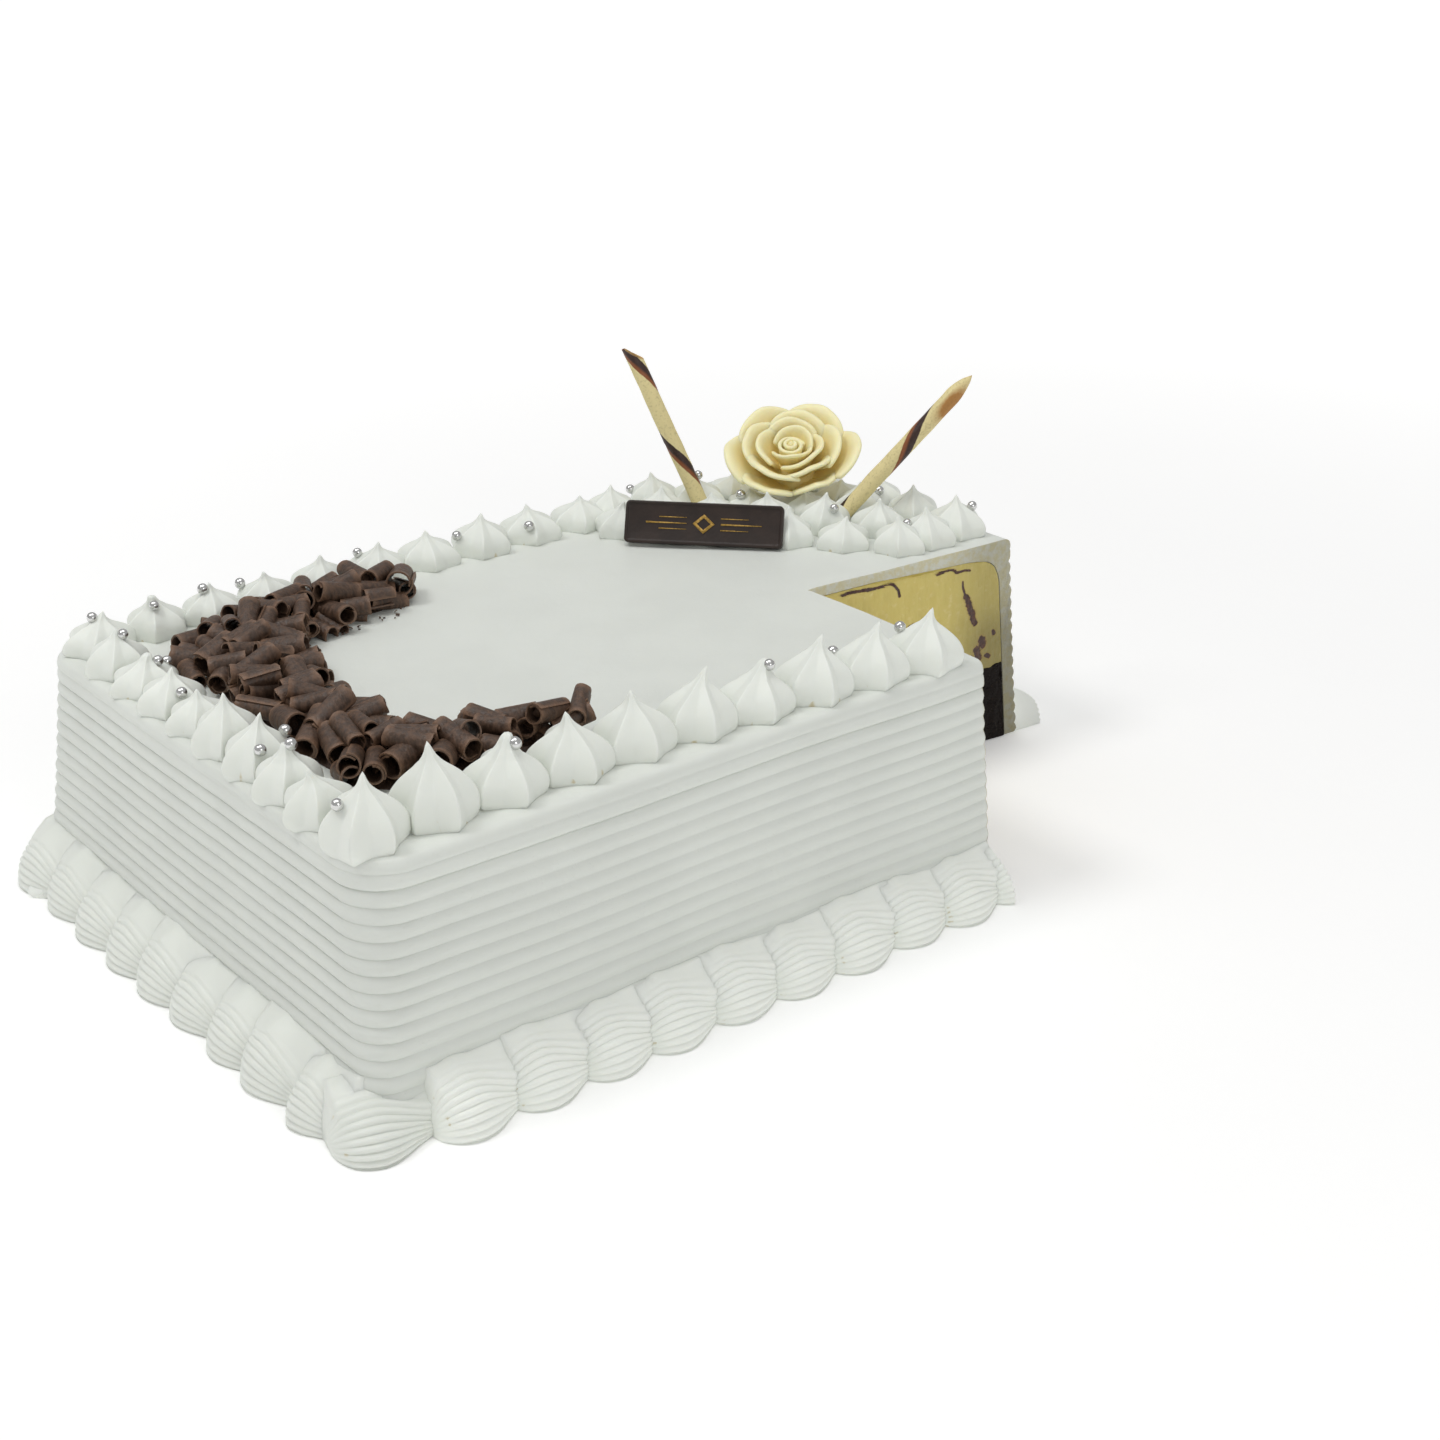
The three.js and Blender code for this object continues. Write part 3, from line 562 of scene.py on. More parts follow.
def rose_finish(desk, colours):
    """White chocolate: pale on the rolled rims, with painted shade that turns it darker and golden
    between the petals
    """
    # Painted shade: the deeper a point lies in the rose, the darker and more golden it is
    deep = (desk.attribute("deep") + desk.noise(6, 2) * 0.3 - 0.15).clamp()
    tint = desk.mix(deep, colours.petal, colours.petal_shade)
    tint = desk.mix(desk.noise(1.4, 3).between(0.55, 0.8) * 0.3, tint, PETAL_BLOOM)
    return {
        "Base Color": tint, "Roughness": 0.38 + desk.noise(4, 2) * 0.14,
        "Normal": desk.bump(desk.noise(2.2, 3) + desk.noise(0.7, 2) * 0.3, 0.18),
        "Subsurface Weight": 0.25, "Subsurface Radius": (1.0, 0.75, 0.35),
        "Subsurface Scale": 2 * MM,
    }


def wafer_finish(desk, colours):
    """Rolled wafer: porous cream with a dark stripe, orange brown along one edge"""
    ragged = desk.noise(2.4, 3) * 0.12 - 0.06
    band = (desk.attribute("stripe") + ragged).between(0.7, 0.78)
    lee = (desk.attribute("lee") + ragged).between(0, 0.42)
    pores = desk.noise(0.8, 3).between(0.5, 0.75)
    tint = desk.mix(pores, colours.wafer, shade(colours.wafer, 0.8))
    browned = (desk.attribute("toast") * (0.5 + desk.noise(1.8, 3))).clamp()
    tint = desk.mix(browned, tint, TOASTED)
    tint = desk.mix(band, tint, desk.mix(lee, colours.stripe, STRIPE_EDGE))
    return {
        "Base Color": tint, "Roughness": 0.66 - band * 0.2,
        "Normal": desk.bump(pores * -0.6 + desk.noise(1.6, 3), 0.2),
    }


def silver_finish(desk, colours):
    """Silvered sugar: bright and faintly dimpled"""
    return {
        "Base Color": desk.mix(desk.noise(1.5, 2), colours.silver, shade(colours.silver, 0.85)),
        "Metallic": 0.95, "Roughness": 0.14 + desk.noise(1.2, 2) * 0.16,
        "Normal": desk.bump(desk.noise(1.4, 2), 0.08),
    }


def floor_finish(desk, colours):
    """Pale matt studio floor that glows where the lamps no longer reach it"""
    away = desk.node("ShaderNodeVectorMath", {"operation": "LENGTH"}, {0: desk.place()}, out=1)
    glow = desk.mix(away.between(0.22, 1.5), (0.2, 0.2, 0.2), (1, 1, 1))
    return {
        "Base Color": desk.mix(desk.noise(120, 2), colours.floor, shade(colours.floor, 0.985)),
        "Roughness": 0.75, "Specular IOR Level": 0.2,
        "Emission Color": glow, "Emission Strength": 0.6,
    }


def shade(value, amount):
    return tuple(min(channel * amount, 1) for channel in tuple(value)[:3])


# The cake's outline

def lean_at(z):
    return LEAN * (UPRIGHT - min(z, UPRIGHT)) / UPRIGHT


def cut_line(x, inset=0):
    """The Y of the cut's long face, moved into the cake by inset"""
    return CUT_INNER_Y + CUT_SLOPE * (x - CUT_X) + inset


def round_plan(spacing, corner_steps):
    """Columns round the cake: which of its seven stretches each is on, and how far along"""
    half_x = LENGTH / 2
    half_y = WIDTH / 2
    right = half_y - cut_line(half_x)
    lengths = [half_x + CUT_X, 0, 2 * half_y, 0, 2 * half_x, 0, right]
    part = []
    along = []
    for number, length in enumerate(lengths):
        steps = corner_steps if length == 0 else round(length / spacing)
        last = number == len(lengths) - 1
        share = np.linspace(0, 1, steps + 1)[: None if last else -1]
        part += [number] * len(share)
        along += share.tolist()
    return np.array(part), np.array(along)


def line_round(z, offset, plan, inset=0):
    """Points and outward directions round the cake at height z, offset outwards"""
    part, along = plan
    half_x = LENGTH / 2 + lean_at(z) + offset
    half_y = WIDTH / 2 + lean_at(z) + offset
    plain = CORNER_FOOT + (CORNER_TOP - CORNER_FOOT) * min(z, HEIGHT) / HEIGHT
    radius = max(plain + offset, 3)
    in_x = half_x - radius
    in_y = half_y - radius
    spots = np.zeros((len(part), 2))
    ways = np.zeros((len(part), 2))
    straights = {
        0: ((CUT_X - inset, -half_y), (-in_x, -half_y), (0, -1)),
        2: ((-half_x, -in_y), (-half_x, in_y), (-1, 0)),
        4: ((-in_x, half_y), (in_x, half_y), (0, 1)),
        6: ((half_x, in_y), (half_x, cut_line(half_x, inset)), (1, 0)),
    }
    for number, (start, end, way) in straights.items():
        here = part == number
        spots[here] = np.array(start) + np.outer(along[here], np.subtract(end, start))
        ways[here] = way
    corners = {1: (-in_x, -in_y, -90), 3: (-in_x, in_y, 180), 5: (in_x, in_y, 90)}
    for number, (x, y, first) in corners.items():
        here = part == number
        angle = np.radians(first - 90 * along[here])
        ways[here] = np.stack([np.cos(angle), np.sin(angle)], 1)
        spots[here] = np.array((x, y)) + radius * ways[here]
    return spots, ways


# The inner filling's outline: heights with the offset from the cake's side there
CROWN = [(66, -5), (69, -5.6), (72, -6.8), (73.8, -8.6), (75, -11), (75.9, -16), (76.4, -21),
         (77.4, -43), (78.4, -65)]


def crown_offset(z):
    heights, offsets = zip(*CROWN)
    return float(np.interp(z, heights, offsets))


# Icing coat

# Spacing of the columns round the coat, and the steps of each rounded corner
COAT_SPACING = 3
COAT_CORNER_STEPS = 12
# Rows of the top, as parts of the way from its edge to the cut's inner corner
TOP_ROWS = (0.01, 0.03, 0.06, 0.1, 0.15, 0.21, 0.28, 0.36, 0.45, 0.54, 0.63, 0.72, 0.81, 0.9, 0.97)
# Heights up the straight part of the coat's inner side
INNER_HEIGHTS = (ICING_FOOT, 20, 40, 55)
# The smooth rim above the comb: heights above its last groove with the offset there
RIM = [
    (0, 0.1), (0.3, 0.6), (0.9, 1.05), (1.9, 1.3), (3.5, 1.35), (4.3, 1.25), (4.9, 1.0),
    (5.5, 1.25), (6.6, 1.2), (7.6, 0.95), (8.3, 0.5), (8.8, -0.2), (9.1, -1.2), (9.2, -2.4),
]


def comb_rows(depth):
    """Heights up the wall, with the offset of crisp ridges and of soft ones there"""
    rows = [(ICING_FOOT, 0, 0)]
    for ridge in range(COMB_RIDGES, 0, -1):
        groove = COMB_TOP - COMB_PITCH * ridge
        for part in (0, 0.04, 0.12, 0.26, 0.5, 0.74, 0.88, 0.96):
            z = groove + COMB_PITCH * part
            if z > ICING_FOOT + 0.2:
                crisp = depth * math.sin(math.pi * part) ** 0.72
                rows.append((z, crisp, depth * (0.32 + 0.22 * (1 - math.cos(2 * math.pi * part)))))
    return rows + [(COMB_TOP + rise, out, out) for rise, out in RIM]


# How soft the comb's ridges are on the seven stretches round the cake, from the front on
COMB_SOFTNESS = np.array([0.78, 0.5, 0.15, 0.2, 0.3, 0.3, 0.3])


def wall_row(z, crisp, soft, plan):
    """One row of the combed wall with the unevenness of a hand-held comb"""
    spots, ways = line_round(z, crisp, plan)
    flat = np.column_stack([spots, np.zeros(len(spots))])
    held = min(1, z / 20) * min(1, max(0, (HEIGHT - z) / 6))
    lift = 0.4 * held * waves(flat, 90, 5) + 0.05 * held * waves(flat, 24, 6)
    sway = 0.45 * held * waves(flat + (0, 0, 0.6 * z), 110, 7)
    ridge = 0.07 * held * waves(np.column_stack([spots, np.full(len(spots), 2.4 * z)]), 22, 8)
    softness = COMB_SOFTNESS[plan[0]] + 0.1 * waves(flat + (0, 0, z), 60, 9)
    out = sway + ridge + (soft - crisp) * softness
    height = np.full(len(spots), z) + lift
    return np.column_stack([spots + ways * out.reshape(-1, 1), height])


def top_row(edge, inwards):
    """One row of the icing's top, part of the way from its edge to the cut's inner corner"""
    centre = np.array((CUT_X, CUT_INNER_Y))
    spots = centre + (edge[:, :2] - centre) * (1 - inwards)
    calm = min(1, inwards * 12)
    swell = 0.22 * waves(spots, 75, 11) + 0.07 * waves(spots, 21, 12)
    return np.column_stack([spots, HEIGHT + calm * swell])


def bridge(first, second):
    """Triangles between two lines of (vertex, progress) that run side by side"""
    faces = []
    i = j = 0
    while i < len(first) - 1 or j < len(second) - 1:
        ends = j == len(second) - 1
        if ends or (i < len(first) - 1 and first[i + 1][1] <= second[j + 1][1]):
            faces.append((first[i][0], first[i + 1][0], second[j][0]))
            i += 1
        else:
            faces.append((first[i][0], second[j + 1][0], second[j][0]))
            j += 1
    return faces


def coat_icing():
    """The closed coat of icing: combed wall, top, and the thickness that the cut shows"""
    depth = bpy.context.scene.cake_sizes.comb_depth / MM
    plan = round_plan(COAT_SPACING, COAT_CORNER_STEPS)
    columns = len(plan[0])
    outer = [wall_row(z, crisp, soft, plan) for z, crisp, soft in comb_rows(depth)]
    outer_progress = [row[0][2] / HEIGHT for row in outer]
    edge = outer[-1]
    for inwards in TOP_ROWS:
        outer.append(top_row(edge, inwards))
        outer_progress.append(1 + inwards)
    inner = []
    inner_progress = []
    for z, offset in [*((z, -ICING_SIDE) for z in INNER_HEIGHTS), *CROWN]:
        spots, ways = line_round(z, offset, plan)
        wave = 0.5 * waves(spots, 30, 14).reshape(-1, 1) if z > ICING_FOOT else 0
        inner.append(np.column_stack([spots + ways * wave, np.full(columns, float(z))]))
        inner_progress.append(min(z, 75) / 75 - (offset + ICING_SIDE) / 94)
    corner = np.array([[CUT_X, CUT_INNER_Y, HEIGHT], [CUT_X, CUT_INNER_Y, CROWN[-1][0]]])
    points = np.concatenate([*outer, *inner, corner])
    count = len(outer)
    start = count * columns
    top = start + len(inner) * columns
    faces = grid_faces(count, columns)
    faces += grid_faces(len(inner), columns, start=start)
    for column in range(columns - 1):
        faces.append(((count - 1) * columns + column, (count - 1) * columns + column + 1, top))
        faces.append((top - columns + column, top - columns + column + 1, top + 1))
        faces.append((column, column + 1, start + column + 1, start + column))
    for column in (0, columns - 1):
        outside = [(row * columns + column, at) for row, at in enumerate(outer_progress)]
        inside = [(start + row * columns + column, at) for row, at in enumerate(inner_progress)]
        faces += bridge(outside + [(top, 2)], inside + [(top + 1, 2)])
    piece = new_object("icing_coat", points, faces)
    sharpen(piece, 50)
    return hand_over(piece, ["icing"], finish("icing", icing_finish))


# Ice cream and sponge

# Spacing of the points on the cut faces, with about the length of the short face and the long one
FACE_STEP = 0.55
FACE_LENGTHS = (86, 94)
# Offsets of the layers' sides from the cake's side, and of their hidden faces where they meet,
# which also lie an inset behind the cut
CREAM_SIDE = -5.2
SPONGE_SIDE = -5.3
MEETING_SIDE = -8.2
MEETING_INSET = 3
# Height over which the ragged line of that meeting fades
RAGGED_REACH = 5
# Heights of the rows of the ice cream's rounded crown
CROWN_HEIGHTS = [*np.arange(66, 76, 0.5), 76.2, 76.4, 76.7, 77, 77.4, 77.8, 78.2]
# Strokes of ripple on the cut's long face: places along it and up it, then half the width
FACE_RIPPLES = [
    ([(15, 76.6), (19, 76.9), (27, 76.1), (35, 76.0)], 0.55),
    ([(37, 76.3), (40.3, 75.0), (41.9, 70.4)], 0.55),
    ([(59.8, 75.2), (67.3, 75.4), (69.4, 74.1), (75.7, 73.2)], 0.5),
    ([(72.1, 68.8), (74.2, 63.5)], 0.6), ([(74.2, 63.5), (75.9, 59.3)], 1.05),
    ([(75.9, 59.3), (77.9, 54.6)], 1.4), ([(77.9, 54.6), (79.2, 51.0)], 1.0),
    ([(83.0, 43.6), (83.6, 41.6)], 1.6), ([(80.7, 39.8), (81.8, 36.8)], 1.7),
    ([(85.6, 36.4), (86.4, 35.6)], 1.0), ([(88.8, 45.8), (89.1, 44.9)], 0.8),
    ([(76.0, 37.8), (77.4, 37.3)], 0.8),
]


def wandering_strokes(seed, reach, count, keep):
    """Chains and loops of ripple strewn over a face, as places along it and up it"""
    draw = Draw(seed)
    strokes = []
    while len(strokes) < count:
        s = reach * (draw() + 1) / 2
        z = 34 + 20.5 * (draw() + 1)
        heading = draw() * math.pi
        bend = draw() * 0.55
        steps = 3 + int((draw() + 1) * 3.4)
        line = []
        for _ in range(steps):
            line.append((s, z))
            s += 2.3 * math.cos(heading)
            z += 1.9 * math.sin(heading)
            heading += bend + 0.5 * draw()
        if keep(line):
            strokes.append((line, 0.75 + 0.55 * (draw() + 1) / 2))
    return strokes


def stroke_field(s, z, strokes):
    """How far inside the ripple strokes each place of a face is: 1 on a middle line, 0 away"""
    field = np.zeros(len(s))
    for line, half in strokes:
        for (s0, z0), (s1, z1) in zip(line, line[1:]):
            along = np.array((s1 - s0, z1 - z0))
            size = max(along @ along, 1e-6)
            share = np.clip(((s - s0) * along[0] + (z - z0) * along[1]) / size, 0, 1)
            away = np.hypot(s - s0 - share * along[0], z - z0 - share * along[1])
            field = np.maximum(field, 1 - away / (2 * half))
    return np.clip(field, 0, 1)


def cut_ring(z, offset, plan, steps, inset):
    """A closed ring round a layer: down the cut's short face, round the cake, and back"""
    spots, _ = line_round(z, offset, plan, inset)
    inner = np.array((CUT_X - inset, cut_line(CUT_X, inset)))
    down = np.linspace(0, 1, steps[0], endpoint=False)[:, None]
    back = np.linspace(0, 1, steps[1], endpoint=False)[1:, None]
    short = inner + (spots[0] - inner) * down
    long = spots[-1] + (inner - spots[-1]) * back
    return np.concatenate([short, spots, long])


def ragged(spots):
    """How the sponge's top wanders up and down"""
    return 0.7 * waves(spots, 17, 21) + 0.45 * waves(spots, 5, 22)


def layer(rows, rough, size, seed):
    """A closed layer, its cut faces rough, from rows of height, offset from the cake's side,
    share of the ragged line and distance into the cake from the cut
    """
    plan = round_plan(spacing=7, corner_steps=5)
    steps = [round(length / FACE_STEP) for length in FACE_LENGTHS]
    columns = len(plan[0]) + steps[0] + steps[1] - 1
    on_cut = np.zeros(columns, bool)
    on_cut[: steps[0]] = True
    on_cut[steps[0] + len(plan[0]):] = True
    rings = []
    for z, offset, share, inset in rows:
        spots = cut_ring(z, offset, plan, steps, inset)
        height = z + share * ragged(spots)
        points = np.column_stack([spots, height])
        if inset == 0:
            push = rough * waves(points, size, seed) + 0.5 * rough * waves(points, size / 3, seed + 1)
            points[: steps[0], 0] += push[: steps[0]]
            points[steps[0] + len(plan[0]):, 1] -= push[steps[0] + len(plan[0]):]
        rings.append(points)
    return np.concatenate(rings), tube_faces(len(rings), columns)


def fill_layers():
    """The ice cream and the sponge that the cut shows"""
    rows = [(SPONGE_TOP + 0.3, MEETING_SIDE, 0, MEETING_INSET)]
    for z in np.arange(SPONGE_TOP + 0.1, CROWN_HEIGHTS[0], FACE_STEP):
        rows.append((z, CREAM_SIDE, max(0, 1 - (z - SPONGE_TOP) / RAGGED_REACH), 0))
    rows += [(z, crown_offset(z) - 0.2, 0, 0) for z in CROWN_HEIGHTS]
    points, faces = layer(rows, rough=0.13, size=9, seed=31)
    reach = LENGTH / 2 - CUT_X

    def hidden(line):
        return all(2 < s < 62 and z < 62 for s, z in line)

    def anywhere(line):
        return all(2 < s < 78 and 33 < z < 75 for s, z in line)

    long = [*FACE_RIPPLES, *wandering_strokes(41, reach, count=22, keep=hidden)]
    short = wandering_strokes(43, 80, count=52, keep=anywhere)
    away = np.hypot(points[:, 0] - CUT_X, points[:, 1] - CUT_INNER_Y)
    wander = 0.8 * waves(points, 5, 51)
    on_short = np.abs(points[:, 0] - CUT_X) < 1
    ripple = np.where(
        on_short,
        stroke_field(away + wander, points[:, 2] + 0.7 * waves(points, 4, 52), short),
        stroke_field(away + 0.3 * wander, points[:, 2] + 0.3 * wander, long),
    )
    cream = new_object("ice_cream_filling", points, faces, {"ripple": ripple})
    sharpen(cream, 45)
    hand_over(cream, ["ice_cream"], finish("ice cream", ice_cream_finish))

    rows = [(0.3, SPONGE_SIDE, 0, 0)]
    for z in np.arange(0.9, SPONGE_TOP + 0.1, 0.62):
        share = (z - (SPONGE_TOP - RAGGED_REACH)) / RAGGED_REACH
        rows.append((z, SPONGE_SIDE, max(0, share), 0))
    rows += [(SPONGE_TOP, SPONGE_SIDE, 1, 0), (SPONGE_TOP - 0.2, MEETING_SIDE, 0, MEETING_INSET)]
    points, faces = layer(rows, rough=0.3, size=4.5, seed=61)
    base = new_object("sponge_base", points, faces)
    sharpen(base, 45)
    hand_over(base, ["sponge"], finish("sponge", sponge_finish))


# Things set on points

def setting_tree():
    """A tree that sets pieces on points, bends and roughens them, and gives them a finish"""
    tree = bpy.data.node_groups.new("set_on_points", "GeometryNodeTree")
    face = tree.interface
    face.new_socket("Geometry", in_out="INPUT", socket_type="NodeSocketGeometry")
    inputs = {"Pieces": "Collection", "Finish": "Material", "Wobble": "Float",
              "Wobble size": "Float", "Seed": "Float"}
    for name, kind in inputs.items():
        face.new_socket(name, in_out="INPUT", socket_type=f"NodeSocket{kind}")
    face.new_socket("Geometry", in_out="OUTPUT", socket_type="NodeSocketGeometry")
    desk = Desk(tree)
    given = tree.nodes.new("NodeGroupInput")

    def taken(name):
        return Wire(desk, given.outputs[name])

    def named(name, kind):
        return desk.node("GeometryNodeInputNamedAttribute", {"data_type": kind}, {"Name": name})

    def vector(operation, first, second):
        settings = {"operation": operation}
        return desk.node("ShaderNodeVectorMath", settings, {0: first, 1: second})

    def scaled(value, amount):
        settings = {"operation": "SCALE"}
        return desk.node("ShaderNodeVectorMath", settings, {0: value, "Scale": amount})

    pieces = desk.node("GeometryNodeCollectionInfo", {"transform_space": "ORIGINAL"}, {
        "Collection": taken("Pieces"), "Separate Children": True, "Reset Children": True,
    })
    turn = desk.node("FunctionNodeEulerToRotation", {}, {"Euler": named("turn", "FLOAT_VECTOR")})
    placed = desk.node("GeometryNodeInstanceOnPoints", {}, {
        "Points": taken("Geometry"), "Instance": pieces, "Pick Instance": True,
        "Instance Index": named("kind", "INT"), "Rotation": turn,
        "Scale": named("size", "FLOAT_VECTOR"),
    })
    real = desk.node("GeometryNodeRealizeInstances", {}, {"Geometry": placed})
    bent = scaled(named("lean", "FLOAT_VECTOR"), named("rise", "FLOAT") ** 3)
    noise = desk.node("ShaderNodeTexNoise", {"noise_dimensions": "4D"}, {
        "Scale": 1 / taken("Wobble size"), "W": taken("Seed"), "Detail": 2.0,
    }, out=1)
    shaken = scaled(vector("SUBTRACT", noise, (0.5, 0.5, 0.5)), taken("Wobble") * 2)
    moved = desk.node("GeometryNodeSetPosition", {}, {
        "Geometry": real, "Offset": vector("ADD", bent, shaken),
    })
    coated = desk.node("GeometryNodeSetMaterial", {}, {
        "Geometry": moved, "Material": taken("Finish"),
    })
    leave = tree.nodes.new("NodeGroupOutput")
    tree.links.new(coated.socket, leave.inputs[0])
    return tree


def set_on_points(name, masters, places, material, wobble=0.0, wobble_size=12.0, seed=1.0):
    """One piece made of copies of the masters. Each place gives at, turn and size, and may give
    lean and kind, which is the number of its master
    """
    spots = [place["at"] for place in places]
    mesh = bpy.data.meshes.new(name)
    mesh.from_pydata((np.array(spots, float) * MM).tolist(), [], [])
    for key in ("turn", "size", "lean"):
        stored = mesh.attributes.new(key, "FLOAT_VECTOR", "POINT")
        values = np.array([place.get(key, (0, 0, 0)) for place in places], np.float32)
        if key == "lean":
            values = values * MM
        stored.data.foreach_set("vector", values.ravel())
    kinds = mesh.attributes.new("kind", "INT", "POINT")
    kinds.data.foreach_set("value", [place.get("kind", 0) for place in places])
    piece = link(bpy.data.objects.new(name, mesh))
    store = bpy.data.collections.new(name + "_masters")
    for master in masters:
        store.objects.link(master)
    tree = bpy.data.node_groups.get("set_on_points") or setting_tree()
    modifier = piece.modifiers.new("set", "NODES")
    modifier.node_group = tree
    values = {"Pieces": store, "Finish": material, "Wobble": wobble * MM,
              "Wobble size": wobble_size * MM, "Seed": seed}
    for item in tree.interface.items_tree:
        if item.in_out == "INPUT" and item.name in values:
            modifier[item.identifier] = values[item.name]
    applied(piece)
    for master in list(store.objects):
        bpy.data.objects.remove(master)
    bpy.data.collections.remove(store)
    if len(piece.data.polygons) == 0:
        raise RuntimeError(f"{name} came out empty")
    for spare in ("turn", "size", "lean", "kind", "rise"):
        if spare in piece.data.attributes:
            piece.data.attributes.remove(piece.data.attributes[spare])
    return piece


# Piped stars

STAR_RIDGES = 6
# Parts of a star's height with the part of its radius there: its body, then its tip, which is
# drawn out or has snapped off
STAR_BODY = [
    (-0.11, 0.76), (-0.05, 0.85), (0, 0.91), (0.05, 0.955), (0.12, 0.99), (0.2, 1),
    (0.28, 0.985), (0.36, 0.94), (0.43, 0.875), (0.49, 0.795), (0.55, 0.695), (0.6, 0.595),
    (0.65, 0.485), (0.69, 0.39),
]
DRAWN_TIP = [(0.73, 0.3), (0.77, 0.225), (0.82, 0.155), (0.88, 0.1), (0.94, 0.06)]
SNAPPED_TIP = [(0.73, 0.34), (0.77, 0.27), (0.82, 0.21), (0.88, 0.17), (0.94, 0.14), (0.98, 0.1)]
# Twist from foot to tip, depth as a part of the width, and tip of each kind of star
STAR_KINDS = [
    (0.12, 1, DRAWN_TIP), (0.06, 0.98, DRAWN_TIP), (0.18, 1.01, DRAWN_TIP),
    (0.1, 0.99, DRAWN_TIP), (0.12, 1, SNAPPED_TIP),
]
FACE_STEPS = (0, 0.04, 0.12, 0.25, 0.4, 0.5, 0.6, 0.75, 0.88, 0.96)


def hollow(step):
    """How deep a star's face is hollowed: 0 at the ridges beside it and 1 in its middle"""
    return 1 - abs(2 * step - 1) ** 1.7


def star_master(name, twist, squeeze, tip):
    """A star of unit radius and height: sharp ridges between hollowed faces"""
    groove = bpy.context.scene.cake_sizes.star_groove
    draw = Draw(round(100 * (2 + twist)) + 7)
    swell = [0.04 * draw() for _ in range(STAR_RIDGES)]
    points = []
    rise = []
    fold = []
    for part, level in STAR_BODY + tip:
        share = np.interp(part, (-0.1, 0, 0.15, 0.6, 0.95), (0.45, 0.6, 0.95, 1.15, 0.5))
        for ridge in range(STAR_RIDGES):
            for step in FACE_STEPS:
                angle = (ridge + step) * 2 * math.pi / STAR_RIDGES + twist * max(part, 0) ** 1.6
                plump = swell[ridge] * (1 - step) + swell[(ridge + 1) % STAR_RIDGES] * step
                reach = level * (1 - groove * share * hollow(step)) * (1 + plump * min(1, 1 - part))
                points.append((reach * math.cos(angle), squeeze * reach * math.sin(angle), part))
                rise.append(max(part, 0))
                # How far down a valley between ridges a point lies near the foot, for the painted
                # shade and the butter specks
                fold.append((1 - abs(2 * step - 1)) ** 2 * min(1, 1 - part) ** 3)
    columns = STAR_RIDGES * len(FACE_STEPS)
    last = len(points) - columns
    faces = grid_faces(len(points) // columns, columns, wrap=True)
    faces += [(last + i, last + (i + 1) % columns, len(points)) for i in range(columns)]
    faces.append(tuple(range(columns)))
    points.append((0, 0, 1.0))
    rise.append(1)
    fold.append(0)
    return new_object(name, np.array(points) / MM, faces, {"rise": rise, "fold": fold})


def star(x, y, radius, height, turn, lean_x, lean_y=0.0):
    return {"x": x, "y": y, "radius": radius, "height": height, "turn": turn,
            "lean": (lean_x, lean_y)}


# Heights of stars with the lean of their tips along X: from the near left corner to the cut,
# and from the far left corner towards the near one
FRONT_TIPS = [
    (21, 1), (23.8, -1.1), (18.3, 2.3), (18.8, -0.9), (19.5, -0.7), (19.9, 4.8), (16.5, 4.4),
    (19.4, 4.3), (18.5, 4.8), (18.3, 3.8),
]
LEFT_TIPS = [
    (12.8, 2.3), (14.8, 0.7), (11.7, 2.2), (13.3, 1.3), (12.7, -0.4), (17.8, 0.1), (17.7, 2.3),
    (15.6, 0.2), (15.4, -3.4),
]


def front_stars():
    draw = Draw(11)
    height, lean = FRONT_TIPS[0]
    stars = [star(-154.6, -91, 13.2, height, 0.73, lean)]
    for i, (height, lean) in enumerate(FRONT_TIPS[1:]):
        x = -131.5 + 23.9 * i - 0.117 * i * i
        y = -90.2 + 1.1 * i - 0.21 * i * i
        radius = 13.4 + 0.2 * draw()
        stars.append(star(x, y, radius, height, 0.56 - 0.04 * i + 0.04 * draw(), lean))
    return stars


def left_stars():
    draw = Draw(23)
    height, lean = LEFT_TIPS[0]
    stars = [star(-149, 91.5, 13.4, height, -0.07, lean)]
    for i, (height, lean) in enumerate(LEFT_TIPS[1:]):
        x = -152.6 - 0.06 * i * i + 0.3 * draw()
        radius = 11.7 + 0.3 * draw()
        stars.append(star(x, 69.5 - 19.7 * i, radius, height, -0.07 + 0.08 * draw(), lean))
    return stars


def back_stars():
    draw = Draw(37)
    stars = []
    for i in range(9):
        x = -127.5 + 21 * i + 0.14 * i * i
        y = 93.6 + 0.7 * draw()
        height = 13.5 + 1.5 * draw()
        turn = 0.1 + 0.1 * draw()
        stars.append(star(x, y, 11.9 + 0.1 * i, height, turn, 1.5 * draw(), draw()))
    return stars


# The stars behind the plaque: start and direction of their first row, pitch along a row and
# from row to row, and the greatest X and Y of a star
FIELD_START = (56.2, 75.8)
FIELD_ALONG = (0.629, -0.777)
FIELD_PITCH = 21.4
FIELD_ROW = 18.8
FIELD_LIMIT = (152.6, 93.6)
# Two stars side by side near the cut's outer end stand in for this one of the rows
FIELD_PAIR_AT = 12


